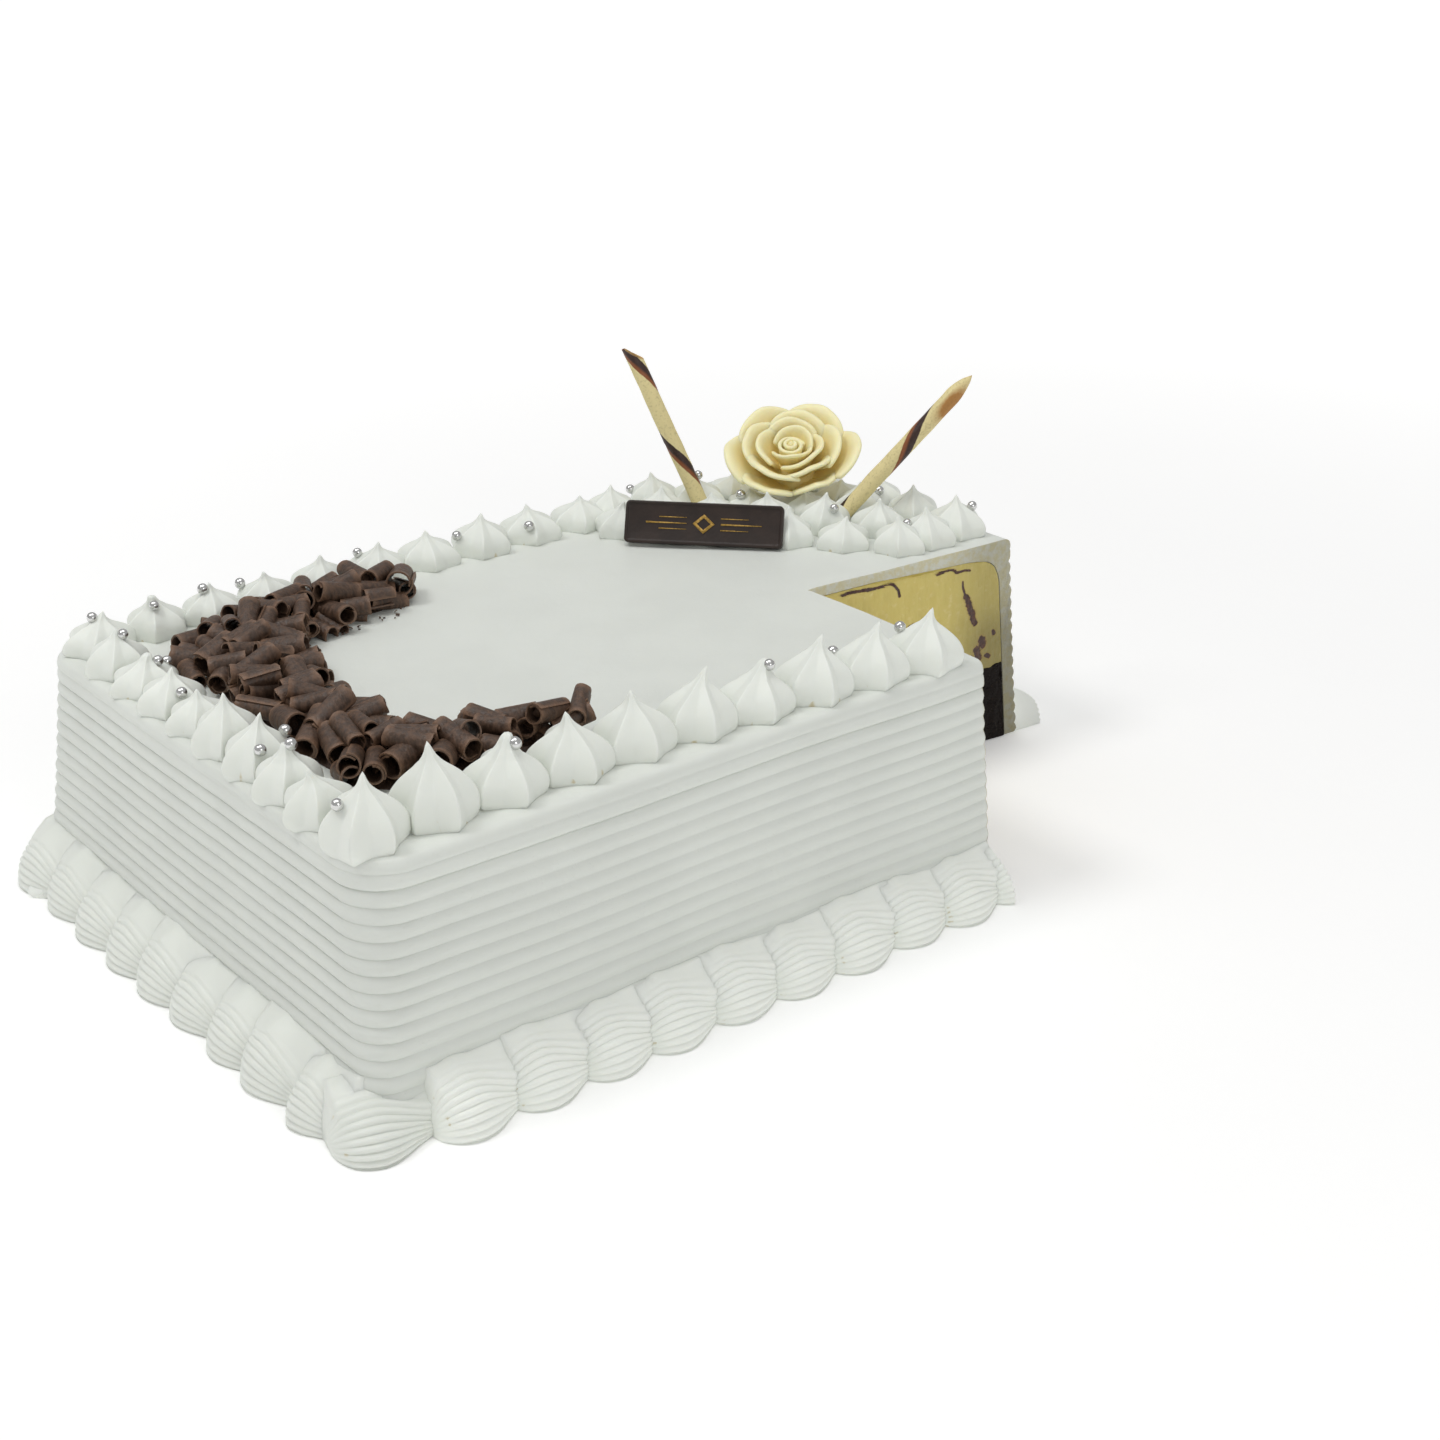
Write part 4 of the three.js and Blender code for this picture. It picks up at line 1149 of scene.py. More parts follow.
def field_stars():
    draw = Draw(79)
    across = (-FIELD_ALONG[1], FIELD_ALONG[0])
    stars = []
    for row in range(5):
        shift = -0.5 if row % 2 else 0
        for k in range(8):
            far = FIELD_PITCH * (k + shift)
            x = FIELD_START[0] + FIELD_ALONG[0] * far + across[0] * FIELD_ROW * row
            y = FIELD_START[1] + FIELD_ALONG[1] * far + across[1] * FIELD_ROW * row
            add_field_star(stars, x, y, draw)
    pair = [star(136.5, -8.5, 11.8, 14, -0.1, -0.5, 0.5), star(152.6, -7, 12, 14.5, -0.1, 1, 1)]
    stars[FIELD_PAIR_AT:FIELD_PAIR_AT + 1] = pair
    return stars


def add_field_star(stars, x, y, draw):
    """Stars near the edges are drawn in, those under the rose are left out or kept low"""
    radius = 11.5 + 0.3 * draw()
    height = 13 + 1.5 * draw()
    turn = -0.15 + 0.25 * draw()
    lean_x = 1.5 * draw()
    lean_y = 1.5 * draw()
    placed_x = min(x, FIELD_LIMIT[0])
    placed_y = min(max(y, cut_line(x) + 11.6), FIELD_LIMIT[1])
    if math.hypot(placed_x - x, placed_y - y) > 9:
        return
    if any(math.hypot(other["x"] - placed_x, other["y"] - placed_y) < 13 for other in stars):
        return
    away = math.hypot(placed_x - ROSE_FOOT[0], placed_y - ROSE_FOOT[1])
    if away < 17:
        return
    tall = height * 0.62 if away < 27 else height
    stars.append(star(placed_x, placed_y, radius, tall, turn, lean_x, lean_y))


# Each row's stars, its silver balls as star, compass angle and part of the height, and the
# stars whose tips snapped off
STAR_ROWS = {
    "front": (front_stars, (
        (0, 175, 0.6), (2, 315, 0.8), (6, 315, 0.85), (8, 130, 0.4), (9, 130, 0.6),
    ), (2, 6)),
    "left": (left_stars, (
        (0, 150, 0.8), (1, 325, 0.8), (2, 335, 0.7), (2, 10, 0.5), (3, 270, 0.5), (6, 250, 0.5),
        (6, 0, 0.5), (7, 330, 0.9),
    ), (2, 7)),
    "back": (back_stars, (
        (0, 250, 0.75), (1, 170, 0.8), (2, 130, 0.5), (3, 200, 0.4), (4, 130, 0.6),
        (6, 180, 0.5), (7, 235, 0.5),
    ), (0,)),
    "field": (field_stars, (
        (10, 265, 0.6), (12, 150, 0.5), (13, 340, 0.6), (14, 110, 0.3), (15, 0, 0.9),
        (16, 170, 0.7), (22, 230, 0.6),
    ), ()),
}


def star_place(item, draw, snapped):
    """Where a star stands, a little plumper or slimmer than the next"""
    wide, deep = (0.985 * item["radius"] * (1 + 0.02 * draw()) for _ in range(2))
    kind = int((draw() + 1) * 1.999)
    return {
        "at": (item["x"], item["y"], STAR_FOOT), "turn": (0, 0, item["turn"]),
        "size": (wide * MM, deep * MM, (item["height"] + 0.6) * MM),
        "lean": (*item["lean"], 0), "kind": len(STAR_KINDS) - 1 if snapped else kind,
    }


def pipe_stars():
    """The rows of piped stars round and across the top"""
    wobble = bpy.context.scene.cake_sizes.wobble / MM
    material = finish("piped icing", piping_finish)
    for number, (side, (stars, _, snapped)) in enumerate(STAR_ROWS.items()):
        masters = [star_master(f"star_{i}", *kind) for i, kind in enumerate(STAR_KINDS)]
        draw = Draw(200 + number)
        places = [star_place(item, draw, i in snapped) for i, item in enumerate(stars())]
        piece = set_on_points(f"piped_stars_{side}", masters, places, material, wobble,
                              wobble_size=13, seed=number)
        hand_over(piece, [f"stars_{side}"])


# Silver sugar balls

def ball_spot(item, degrees, part):
    """The middle of a ball that rests on a star"""
    angle = math.radians(degrees)
    level = np.interp(part, *zip(*STAR_BODY, *DRAWN_TIP))
    step = (angle - item["turn"]) / (2 * math.pi / STAR_RIDGES) % 1
    groove = bpy.context.scene.cake_sizes.star_groove
    reach = item["radius"] * level * (1 - groove * hollow(step)) + BALL_RADIUS * 0.45
    bend = part ** 3
    return (
        item["x"] + reach * math.cos(angle) + item["lean"][0] * bend,
        item["y"] + reach * math.sin(angle) + item["lean"][1] * bend,
        STAR_FOOT + 0.6 + part * item["height"] + BALL_RADIUS * 0.35,
    )


def ball_spots():
    spots = []
    for stars, balls, _ in STAR_ROWS.values():
        row = stars()
        spots += [ball_spot(row[index], degrees, part) for index, degrees, part in balls]
    return spots


def set_balls():
    """The silver sugar balls that lie on the stars"""
    draw = Draw(301)
    places = []
    for spot in ball_spots():
        size = BALL_RADIUS * (1 + 0.06 * draw()) * MM
        turn = (draw() * 3, draw() * 3, draw() * 3)
        places.append({"at": spot, "turn": turn, "size": (size, size * 0.97, size * 1.02)})
    material = finish("silver sugar", silver_finish)
    piece = set_on_points("silver_sugar_balls", [ball_master()], places, material,
                          wobble=0.05, wobble_size=3, seed=4)
    hand_over(piece)


def ball_master():
    work = bmesh.new()
    bmesh.ops.create_icosphere(work, subdivisions=3, radius=1)
    points = [tuple(vertex.co) for vertex in work.verts]
    faces = [tuple(vertex.index for vertex in face.verts) for face in work.faces]
    work.free()
    return new_object("ball", np.array(points) / MM, faces)


# Piped shells

# Rows from a shell's head to its tail: part of its length, with the part of its girth there
SHELL_ROWS = [
    (-0.57, 0.3), (-0.55, 0.5), (-0.52, 0.62), (-0.48, 0.73), (-0.43, 0.83), (-0.37, 0.91),
    (-0.3, 0.965), (-0.23, 0.995), (-0.16, 1.0), (-0.08, 0.97), (0.0, 0.91), (0.08, 0.83),
    (0.15, 0.745), (0.22, 0.66), (0.29, 0.575), (0.37, 0.49), (0.45, 0.41), (0.54, 0.34),
    (0.68, 0.26), (0.84, 0.2),
]
# How far a shell's flat back lies behind the wall's line, in the icing
SHELL_BACK = 5.5
# Degrees from upright between which a shell bulges, from its wall side to its foot
SHELL_FAN = (-24, 98)
# Steps across one rib
RIB_STEPS = 6


def shell_master(name, ribs, lift, length, depth, softness, smooth, reach, height):
    """A shell along X beside a wall at Y = 0: ribs fan from its head over to its tail"""
    inner, outer = SHELL_FAN
    count = ribs * RIB_STEPS + 1
    points = []
    fold = []
    for along, swell in SHELL_ROWS:
        notch = max(0, 1 - abs(along + 0.5) / 0.07)
        tail = np.clip((along + 0.1) / 0.6, 0, 1)
        for i in range(count):
            share = i / (count - 1)
            degrees = inner + (outer - inner) * share
            angle = math.radians(degrees)
            ribbed = np.clip((degrees - smooth) / 18, 0, 1)
            crease = ribbed * (1 - abs(math.sin(math.pi * share * ribs)) ** softness)
            beside = np.clip((40 - degrees) / 50, 0, 1)
            full = swell + beside * max(0, 0.95 - swell) * (-0.5 < along < 0.65)
            radius = full * (1 - depth * crease * min(1, 0.35 + swell))
            climb = 0.3 * np.clip((38 - degrees) / 62, 0, 1) ** 2
            tall = height * radius * (1 + lift * (0.3 - along) * 0.3) * (math.cos(angle) + climb)
            out = -reach * radius * math.sin(angle) - 3.2 * tail * ribbed * max(0, math.cos(angle))
            points.append((along * length, min(out, SHELL_BACK), max(tall, 0.15)))
            # How deep a point lies in a crease or notch, for the painted shade and the butter specks
            fold.append(0.3 * crease + 0.7 * notch)
        points.append((along * length, SHELL_BACK, 0.15))
        fold.append(0.5)
    return new_object(name, points, tube_faces(len(SHELL_ROWS), count + 1), {"fold": fold})


WALL_X = LENGTH / 2 + LEAN + 1.6
WALL_Y = WIDTH / 2 + LEAN + 1.6
# How far the shell that turns a corner is drawn in, and how it and the one before it are sized
CORNER_PULL = 8
CORNER_SIZE = (1.04, 1.3, 0.92)
SHORTER = 0.74
# Start, heading, shells, pitch, seed, and the corner and heading of the shell that turns it
SHELL_SIDES = {
    "left": ((-WALL_X, 93), -90, 9, 23.2, 71, (-1, -1, -14)),
    "front": ((-138.5, -WALL_Y), 0, 10, 24.2, 83, None),
    "right": ((WALL_X, -18), 90, 6, 21.4, 97, (1, 1, 135)),
    "back": ((150, WALL_Y), 180, 14, 22.7, 101, (-1, 1, 225)),
}
# Length of a shell, depth and softness of its creases, degrees from upright where they begin,
# then its reach and height. The left side has thin creases low down
SHELL_PIPING = {
    "left": (31, 0.05, 0.4, 14, 12.8, 17), "front": (28.5, 0.06, 1.0, 0, 13.8, 16.2),
    "right": (28.5, 0.06, 0.8, 0, 13.8, 17), "back": (28.5, 0.06, 0.8, 0, 13.8, 17),
}


def shell_places(start, degrees, count, pitch, seed, corner):
    """Where the shells of one side lie, with one turned round the corner at its end"""
    draw = Draw(seed)
    heading = math.radians(degrees)
    places = []
    for i in range(count):
        along = i * pitch + draw()
        size = 1 + 0.07 * draw()
        spot = (start[0] + along * math.cos(heading), start[1] + along * math.sin(heading), 0)
        places.append({"at": spot, "turn": (0, 0, heading), "size": (1, size, size),
                       "kind": i % 3})
    if corner:
        places[-1]["size"] = (SHORTER, *places[-1]["size"][1:])
        spot = (corner[0] * (WALL_X - CORNER_PULL), corner[1] * (WALL_Y - CORNER_PULL), 0)
        places.append({"at": spot, "turn": (0, 0, math.radians(corner[2])),
                       "size": CORNER_SIZE, "kind": 3})
    return places


def slice_off(piece, point, way):
    """Cuts away what lies beyond a plane in the direction way, and closes the cut"""
    work = bmesh.new()
    work.from_mesh(piece.data)
    geometry = [*work.verts, *work.edges, *work.faces]
    cut = bmesh.ops.bisect_plane(
        work, geom=geometry, plane_co=Vector(point) * MM, plane_no=Vector(way),
        clear_outer=True, dist=1e-6,
    )
    edges = [item for item in cut["geom_cut"] if isinstance(item, bmesh.types.BMEdge)]
    bmesh.ops.holes_fill(work, edges=edges, sides=0)
    work.to_mesh(piece.data)
    work.free()


def pipe_shells():
    """The rows of piped shells round the foot"""
    sizes = bpy.context.scene.cake_sizes
    # The left shells share the stars' piped icing; the others get a copy made lighter as painted light
    shade_side = bpy.data.materials["piped icing"]
    light_side = finish("shell icing", painted_light_shell_finish)
    for number, (side, row) in enumerate(SHELL_SIDES.items()):
        material = shade_side if side == "left" else light_side
        masters = [shell_master(f"shell_{kind}", sizes.shell_ribs, lift, *SHELL_PIPING[side])
                   for kind, lift in enumerate((0.0, 0.3, -0.25))]
        masters.append(shell_master("shell_3", sizes.shell_ribs, 0.0, *SHELL_PIPING["front"]))
        piece = set_on_points(
            f"piped_shells_{side}", masters, shell_places(*row), material,
            sizes.wobble / MM, wobble_size=11, seed=10 + number,
        )
        settle(piece)
        if side == "front":
            slice_off(piece, (CUT_X - 0.5, 0, 0), (1, 0, 0))
        if side == "right":
            slice_off(piece, (CUT_X, CUT_INNER_Y + 0.5, 0), (CUT_SLOPE, -1, 0))
        hand_over(piece, [f"shells_{side}"])


def settle(piece):
    """Keeps a piece on or above the floor"""
    spots = np.zeros(len(piece.data.vertices) * 3)
    piece.data.vertices.foreach_get("co", spots)
    spots = spots.reshape(-1, 3)
    spots[:, 2] = np.maximum(spots[:, 2], 0.05 * MM)
    piece.data.vertices.foreach_set("co", spots.ravel())


# Chocolate curls

CURL_WALL = 0.6


def jagged_ends(draw, count):
    """How far each strip of a shaving falls short of or passes its two ends"""
    ends = []
    low, high = 0.03 * draw(), 0.03 * draw()
    for _ in range(count):
        low = 0.8 * low + 0.02 * draw()
        high = 0.8 * high + 0.02 * draw()
        ends.append((low, high))
    return ends


def curl_master(name, radius, turns, length, seed, flare=0.0):
    """A shaving rolled about X, with a ragged end and a wall of even thickness"""
    around = max(8, round(18 * turns))
    along = 6
    draw = Draw(seed)
    ends = jagged_ends(draw, around + 1)
    skins = []
    rims = []
    for skin in (0, 1):
        for i in range(around + 1):
            share = i / around
            angle = share * turns * 2 * math.pi
            wide = radius * (0.78 + 0.22 * share) + 0.07 * math.sin(2.3 * angle + seed)
            wide -= skin * CURL_WALL
            for j in range(along + 1):
                level = j / along
                low, high = -0.5 + ends[i][0], 0.5 + ends[i][1]
                x = length * (low + (high - low) * level)
                grow = 1 + flare * (level - 0.5)
                skins.append((x, grow * wide * math.cos(angle), grow * wide * math.sin(angle)))
                # The rim marks the edges that take painted light
                rims.append(1.0 if j in (0, along) or i in (0, around) else 0.0)
    half = (around + 1) * (along + 1)
    # The inner skin takes painted shade
    inside = [0.0] * half + [1.0] * half
    faces = slab_faces(around + 1, along + 1)
    return new_object(name, skins, faces, {"rim": rims, "inside": inside})


# Radius, turns, length, seed and flare of each kind of curl
CURL_KINDS = [
    (4.1, 1.15, 14, 11, 0.0), (3.7, 1.2, 15.5, 12, 0.1), (4.5, 1.1, 12.5, 13, 0.0),
    (3.5, 1.35, 14, 14, -0.1), (4.0, 1.12, 11.5, 15, 0.08), (4.3, 1.18, 13, 16, 0.0),
    (3.8, 1.25, 16, 17, 0.0), (3.9, 0.8, 11, 18, 0.1),
]


def heap_at(part):
    """The point at a part of the heap's line, with half the heap's width and the heading"""
    place = part * (len(HEAP_LINE) - 1)
    index = min(int(place), len(HEAP_LINE) - 2)
    a, b = np.array(HEAP_LINE[index], float), np.array(HEAP_LINE[index + 1], float)
    at = a + (b - a) * (place - index)
    return at[0], at[1], at[2], math.atan2(b[1] - a[1], b[0] - a[0])


class HeapGround:
    """How high the heap has grown, on a grid of one millimetre"""

    def __init__(self, low, high):
        self.low = np.array(low)
        size = np.array(high) - self.low + 1
        self.top = np.full(size.astype(int), float(HEIGHT))

    def patch(self, x, y, reach):
        i, j = int(x - self.low[0]), int(y - self.low[1])
        size = max(1, round(reach))
        return self.top[max(i - size, 0):i + size + 1, max(j - size, 0):j + size + 1]

    def height(self, x, y, reach):
        return float(self.patch(x, y, reach).max())

    def raise_to(self, x, y, reach, z):
        patch = self.patch(x, y, reach)
        np.maximum(patch, z, out=patch)


def clear_of_stars(x, y, z, reach, stars, balls):
    for item in stars:
        level = (z - reach - HEIGHT) / item["height"]
        swell = 1.0 if level < 0.3 else max(1 - 1.35 * (level - 0.3), 0.1)
        if math.hypot(item["x"] - x, item["y"] - y) < item["radius"] * swell + reach - 0.8:
            return False
    for ball in balls:
        if math.dist(ball, (x, y, z)) < BALL_RADIUS + reach:
            return False
    return True


CURL_TRIES = 30000
# How high the heap may stand above the icing at its sides, and how much higher in its middle
HEAP_SIDE = 5.5
HEAP_RISE = 8.5


def heap_places(count):
    """Curls dropped one by one onto the heap, each resting on those below"""
    draw = Draw(131)
    stars = front_stars() + left_stars() + back_stars()
    balls = ball_spots()
    ground = HeapGround(*HEAP_BOX)
    places = []
    for _ in range(CURL_TRIES):
        if len(places) >= count:
            break
        x, y, half, heading = heap_at((draw() + 1) / 2)
        side = draw() * half
        x -= side * math.sin(heading)
        y += side * math.cos(heading)
        kind = min(int((draw() + 1) / 2 * len(CURL_KINDS)), len(CURL_KINDS) - 1)
        yaw = draw() * math.pi
        pitch = draw() * 0.35
        roll = draw() * math.pi
        size = 1 + 0.14 * draw()
        radius, turns, length = (value * size for value in CURL_KINDS[kind][:3])
        reach = radius * 0.8
        ends = [(x + t * length * 0.5 * math.cos(yaw), y + t * length * 0.5 * math.sin(yaw))
                for t in (-0.8, -0.4, 0, 0.4, 0.8)]
        level = max(ground.height(*end, 1) for end in ends)
        crown = 1 - (abs(side) / (half + 3)) ** 2
        z = level + reach * 0.82
        if z + reach > HEIGHT + HEAP_SIDE + HEAP_RISE * crown:
            continue
        if not all(clear_of_stars(*end, z, reach, stars, balls) for end in ends):
            continue
        for end in ends:
            ground.raise_to(*end, reach * 0.55, z + reach * 0.45)
        lift = abs(math.sin(pitch)) * length * 0.12
        places.append({
            "at": (x, y, z + lift), "turn": (roll if turns > 0.9 else 0.5 * pitch, pitch, yaw),
            "size": (size, size, size), "kind": kind,
        })
    return places


def heap_curls():
    """The heap of chocolate curls, its core and the crumbs beside it"""
    material = finish("chocolate curls", curl_finish)
    count = bpy.context.scene.cake_sizes.curl_count
    masters = [curl_master(f"curl_{i}", *kind) for i, kind in enumerate(CURL_KINDS)]
    places = heap_places(count)
    piece = set_on_points("chocolate_curls", masters, places, material,
                          wobble=0.14, wobble_size=5, seed=21)
    sharpen(piece, 40)
    hand_over(piece, ["curls"])
    hand_over(heap_core(), (), material)
    hand_over(crumbs(material))


def heap_core():
    """The low bed of broken shavings under the curls, darkened with painted shade"""
    steps = 90
    across = 13
    tops = []
    for i in range(steps + 1):
        x, y, half, heading = heap_at(i / steps)
        for j in range(across + 1):
            side = (2 * j / across - 1) * (half - 3.5)
            px, py = x - side * math.sin(heading), y + side * math.cos(heading)
            dome = 1 - abs(2 * j / across - 1) ** 2.5
            ends = min(1, i / 6, (steps - i) / 6)
            tops.append((px, py, HEIGHT - 0.2 + 2.6 * dome * ends))
    tops = np.array(tops)
    tops[:, 2] += 0.8 * np.maximum(0, (tops[:, 2] - HEIGHT) / 4) * waves(tops[:, :2], 4, 71)
    floor = tops.copy()
    floor[:, 2] = HEIGHT - 0.6
    points = np.concatenate([tops, floor])
    faces = slab_faces(steps + 1, across + 1)
    # The whole bed takes nearly the full painted shade of the curls' insides
    return new_object("curl_heap_core", points, faces, {"inside": [0.9] * len(points)})


CRUMB_COUNT = 90


def crumbs(material):
    """Tiny scraps of chocolate on the icing along the heap's inner edge"""
    draw = Draw(171)
    places = []
    for _ in range(CRUMB_COUNT):
        x, y, half, heading = heap_at((draw() + 1) / 2)
        side = -(half + 1.5 + 5 * ((draw() + 1) / 2) ** 2)
        size = 0.09 + 0.08 * (draw() + 1) / 2
        places.append({
            "at": (x - side * math.sin(heading), y + side * math.cos(heading), HEIGHT + 0.25),
            "turn": (0.4 * draw(), 0.4 * draw(), 3 * draw()),
            "size": (size, size, size),
        })
    master = curl_master("scrap", radius=5, turns=0.25, length=9, seed=19)
    return set_on_points("chocolate_crumbs", [master], places, material)


# Plaque

def plaque_outline(inset, corner):
    """Points round the plaque's face, anticlockwise from its low right corner"""
    points = []
    for sign_x, sign_y, first in ((1, 0, -90), (1, 1, 0), (-1, 1, 90), (-1, 0, 180)):
        centre_x = sign_x * (PLAQUE_LENGTH / 2 - inset - corner)
        centre_y = (PLAQUE_HEIGHT - inset - corner) if sign_y else inset + corner
        for step in range(6):
            angle = math.radians(first + 90 * step / 5)
            points.append((centre_x + corner * math.cos(angle), centre_y + corner * math.sin(angle)))
    return np.array(points)


def plaque_frame():
    """Stands a shape drawn on the plaque's face in its place, leaning back"""
    turn = Matrix.Rotation(math.atan2(FRONT[1], FRONT[0]) + math.pi / 2, 4, "Z")
    tip = Matrix.Rotation(math.pi / 2 - PLAQUE_LEAN, 4, "X")
    lift = PLAQUE_THICK * math.sin(PLAQUE_LEAN)
    place = Matrix.Translation(Vector((*PLAQUE_MIDDLE, HEIGHT + 0.3 + lift)) * MM)
    return place @ turn @ tip


# Rings from the plaque's back round to its sunken face: inset, corner radius and depth
PLAQUE_RINGS = [
    (0.4, 1.4, -PLAQUE_THICK), (0.1, 1.6, -PLAQUE_THICK + 0.12), (0, 1.7, -PLAQUE_THICK + 0.4),
    (0, 1.7, -0.4), (0.1, 1.6, -0.12), (0.3, 1.5, 0), (0.85, 1.2, 0), (1.0, 1.1, -0.06),
    (1.14, 1.0, -0.25), (1.28, 0.9, -0.44), (1.5, 0.8, -0.5),
]
# Depths of the ornament's foot, of its rules and of its lozenge
ORNAMENT_FOOT = -0.55
RULE_TOP = -0.34
LOZENGE_TOP = -0.32


def stand_plaque():
    """The moulded plaque with its raised rim and a plain gold ornament"""
    points = []
    for inset, corner, depth in PLAQUE_RINGS:
        flat = plaque_outline(inset, corner)
        points.append(np.column_stack([flat, np.full(len(flat), float(depth))]))
    faces = tube_faces(len(PLAQUE_RINGS), len(points[0]))
    piece = new_object("chocolate_plaque", np.concatenate(points), faces)
    sharpen(piece, 60)
    piece.data.transform(plaque_frame())
    hand_over(piece, ["plaque"], finish("plaque chocolate", plaque_finish))
    gold = plaque_ornament()
    gold.data.transform(plaque_frame())
    hand_over(gold, (), finish("gold dusting", gold_finish))


def plaque_ornament():
    """Thin rules on both sides of a lozenge, raised a hair above the plaque's face"""
    bars = []
    for side in (-1, 1):
        bars.append(bar((side * 6.5, 8), (side * 22, 8), 0.34))
        bars.append(bar((side * 6.5, 5.8), (side * 17, 5.8), 0.2))
        bars.append(bar((side * 6.5, 10.2), (side * 17, 10.2), 0.2))
    lozenge = np.array([(-4.2, 8), (0, 4.3), (4.2, 8), (0, 11.7)])
    inside = np.array([(-2.6, 8), (0, 5.7), (2.6, 8), (0, 10.3)])
    points = []
    faces = []
    for line in bars:
        add_slab(points, faces, line)
    add_frame(points, faces, lozenge, inside)
    return new_object("plaque_ornament", points, faces)


def bar(start, end, half):
    """A level rule that narrows towards its right end"""
    low, high = sorted((start, end))
    return np.array([(low[0], low[1] - half), (high[0], low[1] - half * 0.4),
                     (high[0], low[1] + half * 0.4), (low[0], low[1] + half)])


def add_slab(points, faces, line):
    start = len(points)
    count = len(line)
    points += [(x, y, z) for z in (ORNAMENT_FOOT, RULE_TOP) for x, y in line]
    faces += [tuple(start + index for index in face) for face in tube_faces(2, count)]


def add_frame(points, faces, outside, inside):
    start = len(points)
    count = len(outside)
    for line, z in ((outside, ORNAMENT_FOOT), (outside, LOZENGE_TOP), (inside, LOZENGE_TOP),
                    (inside, ORNAMENT_FOOT)):
        points += [(x, y, z) for x, y in line]
    for level in range(4):
        for i in range(count):
            j = (i + 1) % count
            a = start + level * count
            b = start + (level + 1) % 4 * count
            faces.append((a + i, a + j, b + j, b + i))


# Wafers

# Thickness of a wafer's wall, and how far its outer edge overlaps in a seam
WAFER_WALL = 0.95
WAFER_SEAM = 0.16
# Length of the tip along which a wafer narrows, and the place and half width of its smear
TIP_LENGTH = 11
SMEAR_PLACE = 58
SMEAR_HALF = 6


def wafer(side, phase, pitch, point, slant, taper, smear):
    """A rolled wafer tube with a helical stripe, a slanted open tip and a browned smear"""
    foot, tip = (np.array(end, float) for end in WAFERS[side])
    length = np.linalg.norm(tip - foot)
    heading = (tip - foot) / length
    across = np.cross(heading, (0, 0, 1.0))
    across /= np.linalg.norm(across)
    up = np.cross(across, heading)
    around = 36
    rows = 96
    points = []
    stripe = []
    lee = []
    toast = []
    for skin in (0, 1):
        for row in range(rows + 1):
            share = row / rows
            for i in range(around):
                angle = 2 * math.pi * i / around
                end = length - point + point * math.cos(angle - slant)
                s = share * end
                seam = WAFER_SEAM * ((angle / (2 * math.pi) - s / pitch) % 1)
                narrow = 1 - taper * max(0, (s + TIP_LENGTH - length) / TIP_LENGTH) ** 1.6
                radius = (WAFER_RADIUS - 0.12 + seam - WAFER_WALL * skin) * narrow
                spot = foot + heading * s + radius * (across * math.cos(angle) + up * math.sin(angle))
                points.append(spot)
                turn = angle - 2 * math.pi * s / pitch - phase
                stripe.append(math.cos(turn))
                lee.append(math.sin(turn))
                fading = math.exp(-((s - SMEAR_PLACE) / SMEAR_HALF) ** 2)
                browned = smear * max(0, math.cos(angle + 0.7)) * fading
                toast.append(0.7 if skin or row == rows else browned)
    points = np.array(points)
    points += 0.08 * waves(points, 9, 81).reshape(-1, 1) * up
    count = (rows + 1) * around
    faces = grid_faces(rows + 1, around, wrap=True)
    faces += grid_faces(rows + 1, around, wrap=True, start=count)
    for row in (0, rows):
        for i in range(around):
            a, b = row * around + i, row * around + (i + 1) % around
            faces.append((a, b, count + b, count + a))
    values = {"stripe": stripe, "lee": lee, "toast": toast}
    return new_object(f"rolled_wafer_{side}", points, faces, values)


# Phase and pitch of the stripe, length and direction of the slanted tip, how far that narrows,
# then the strength of the smear
WAFER_LOOKS = [("left", -0.24, 40, 3.3, -1.9, 0, 0), ("right", 1.46, 46, 3, 0.2, 0.85, 2.2)]


def stand_wafers():
    """The two rolled wafers that stand in the stars"""
    material = finish("rolled wafer", wafer_finish)
    for side, *shape in WAFER_LOOKS:
        piece = wafer(side, *shape)
        sharpen(piece, 50)
        hand_over(piece, [f"wafer_{side}"], material)


# Rose

# Petals as the camera sees them: compass angle of the middle with right as 0 and away as 90,
# half span, foot height, rim radius, rim height, roll of the rim and droop
ROSE_PETALS = [
    (-85, 88, 9, 7.6, 20.6, 0.7, 0.3), (70, 80, 9, 8.0, 21.0, 0.7, 0.3),
    (165, 60, 7, 12.0, 20.2, 0.9, 0.5), (-35, 82, 7, 11.4, 20.4, 0.9, 0.5),
    (92, 56, 7, 12.6, 20.6, 0.9, 0.5),
    (228, 52, 5, 16.6, 18.8, 1.2, 0.8), (-60, 46, 5, 15.2, 18.9, 1.1, 0.8),
    (8, 46, 5, 17.4, 19.2, 1.2, 0.8), (78, 46, 5, 17.0, 20.0, 1.2, 0.7),
    (150, 46, 5, 17.4, 19.0, 1.2, 0.8),
    (-6, 36, 2.5, 24.2, 17.6, 1.5, 1.0), (60, 38, 2.5, 22.6, 18.6, 1.4, 1.0),
    (118, 38, 2.5, 23.0, 18.0, 1.4, 1.0), (176, 38, 2.5, 23.6, 16.2, 1.4, 1.1),
    (232, 36, 2.5, 20.8, 14.2, 1.5, 1.0), (-62, 33, 2.5, 19.4, 13.6, 1.5, 1.0),
]
# The compass angle of the camera's right, how far from the rose's axis a petal starts, and how
# thick it is
CAMERA_RIGHT = -38.5
PETAL_ROOT = 2.5
PETAL_THICK = 1.5


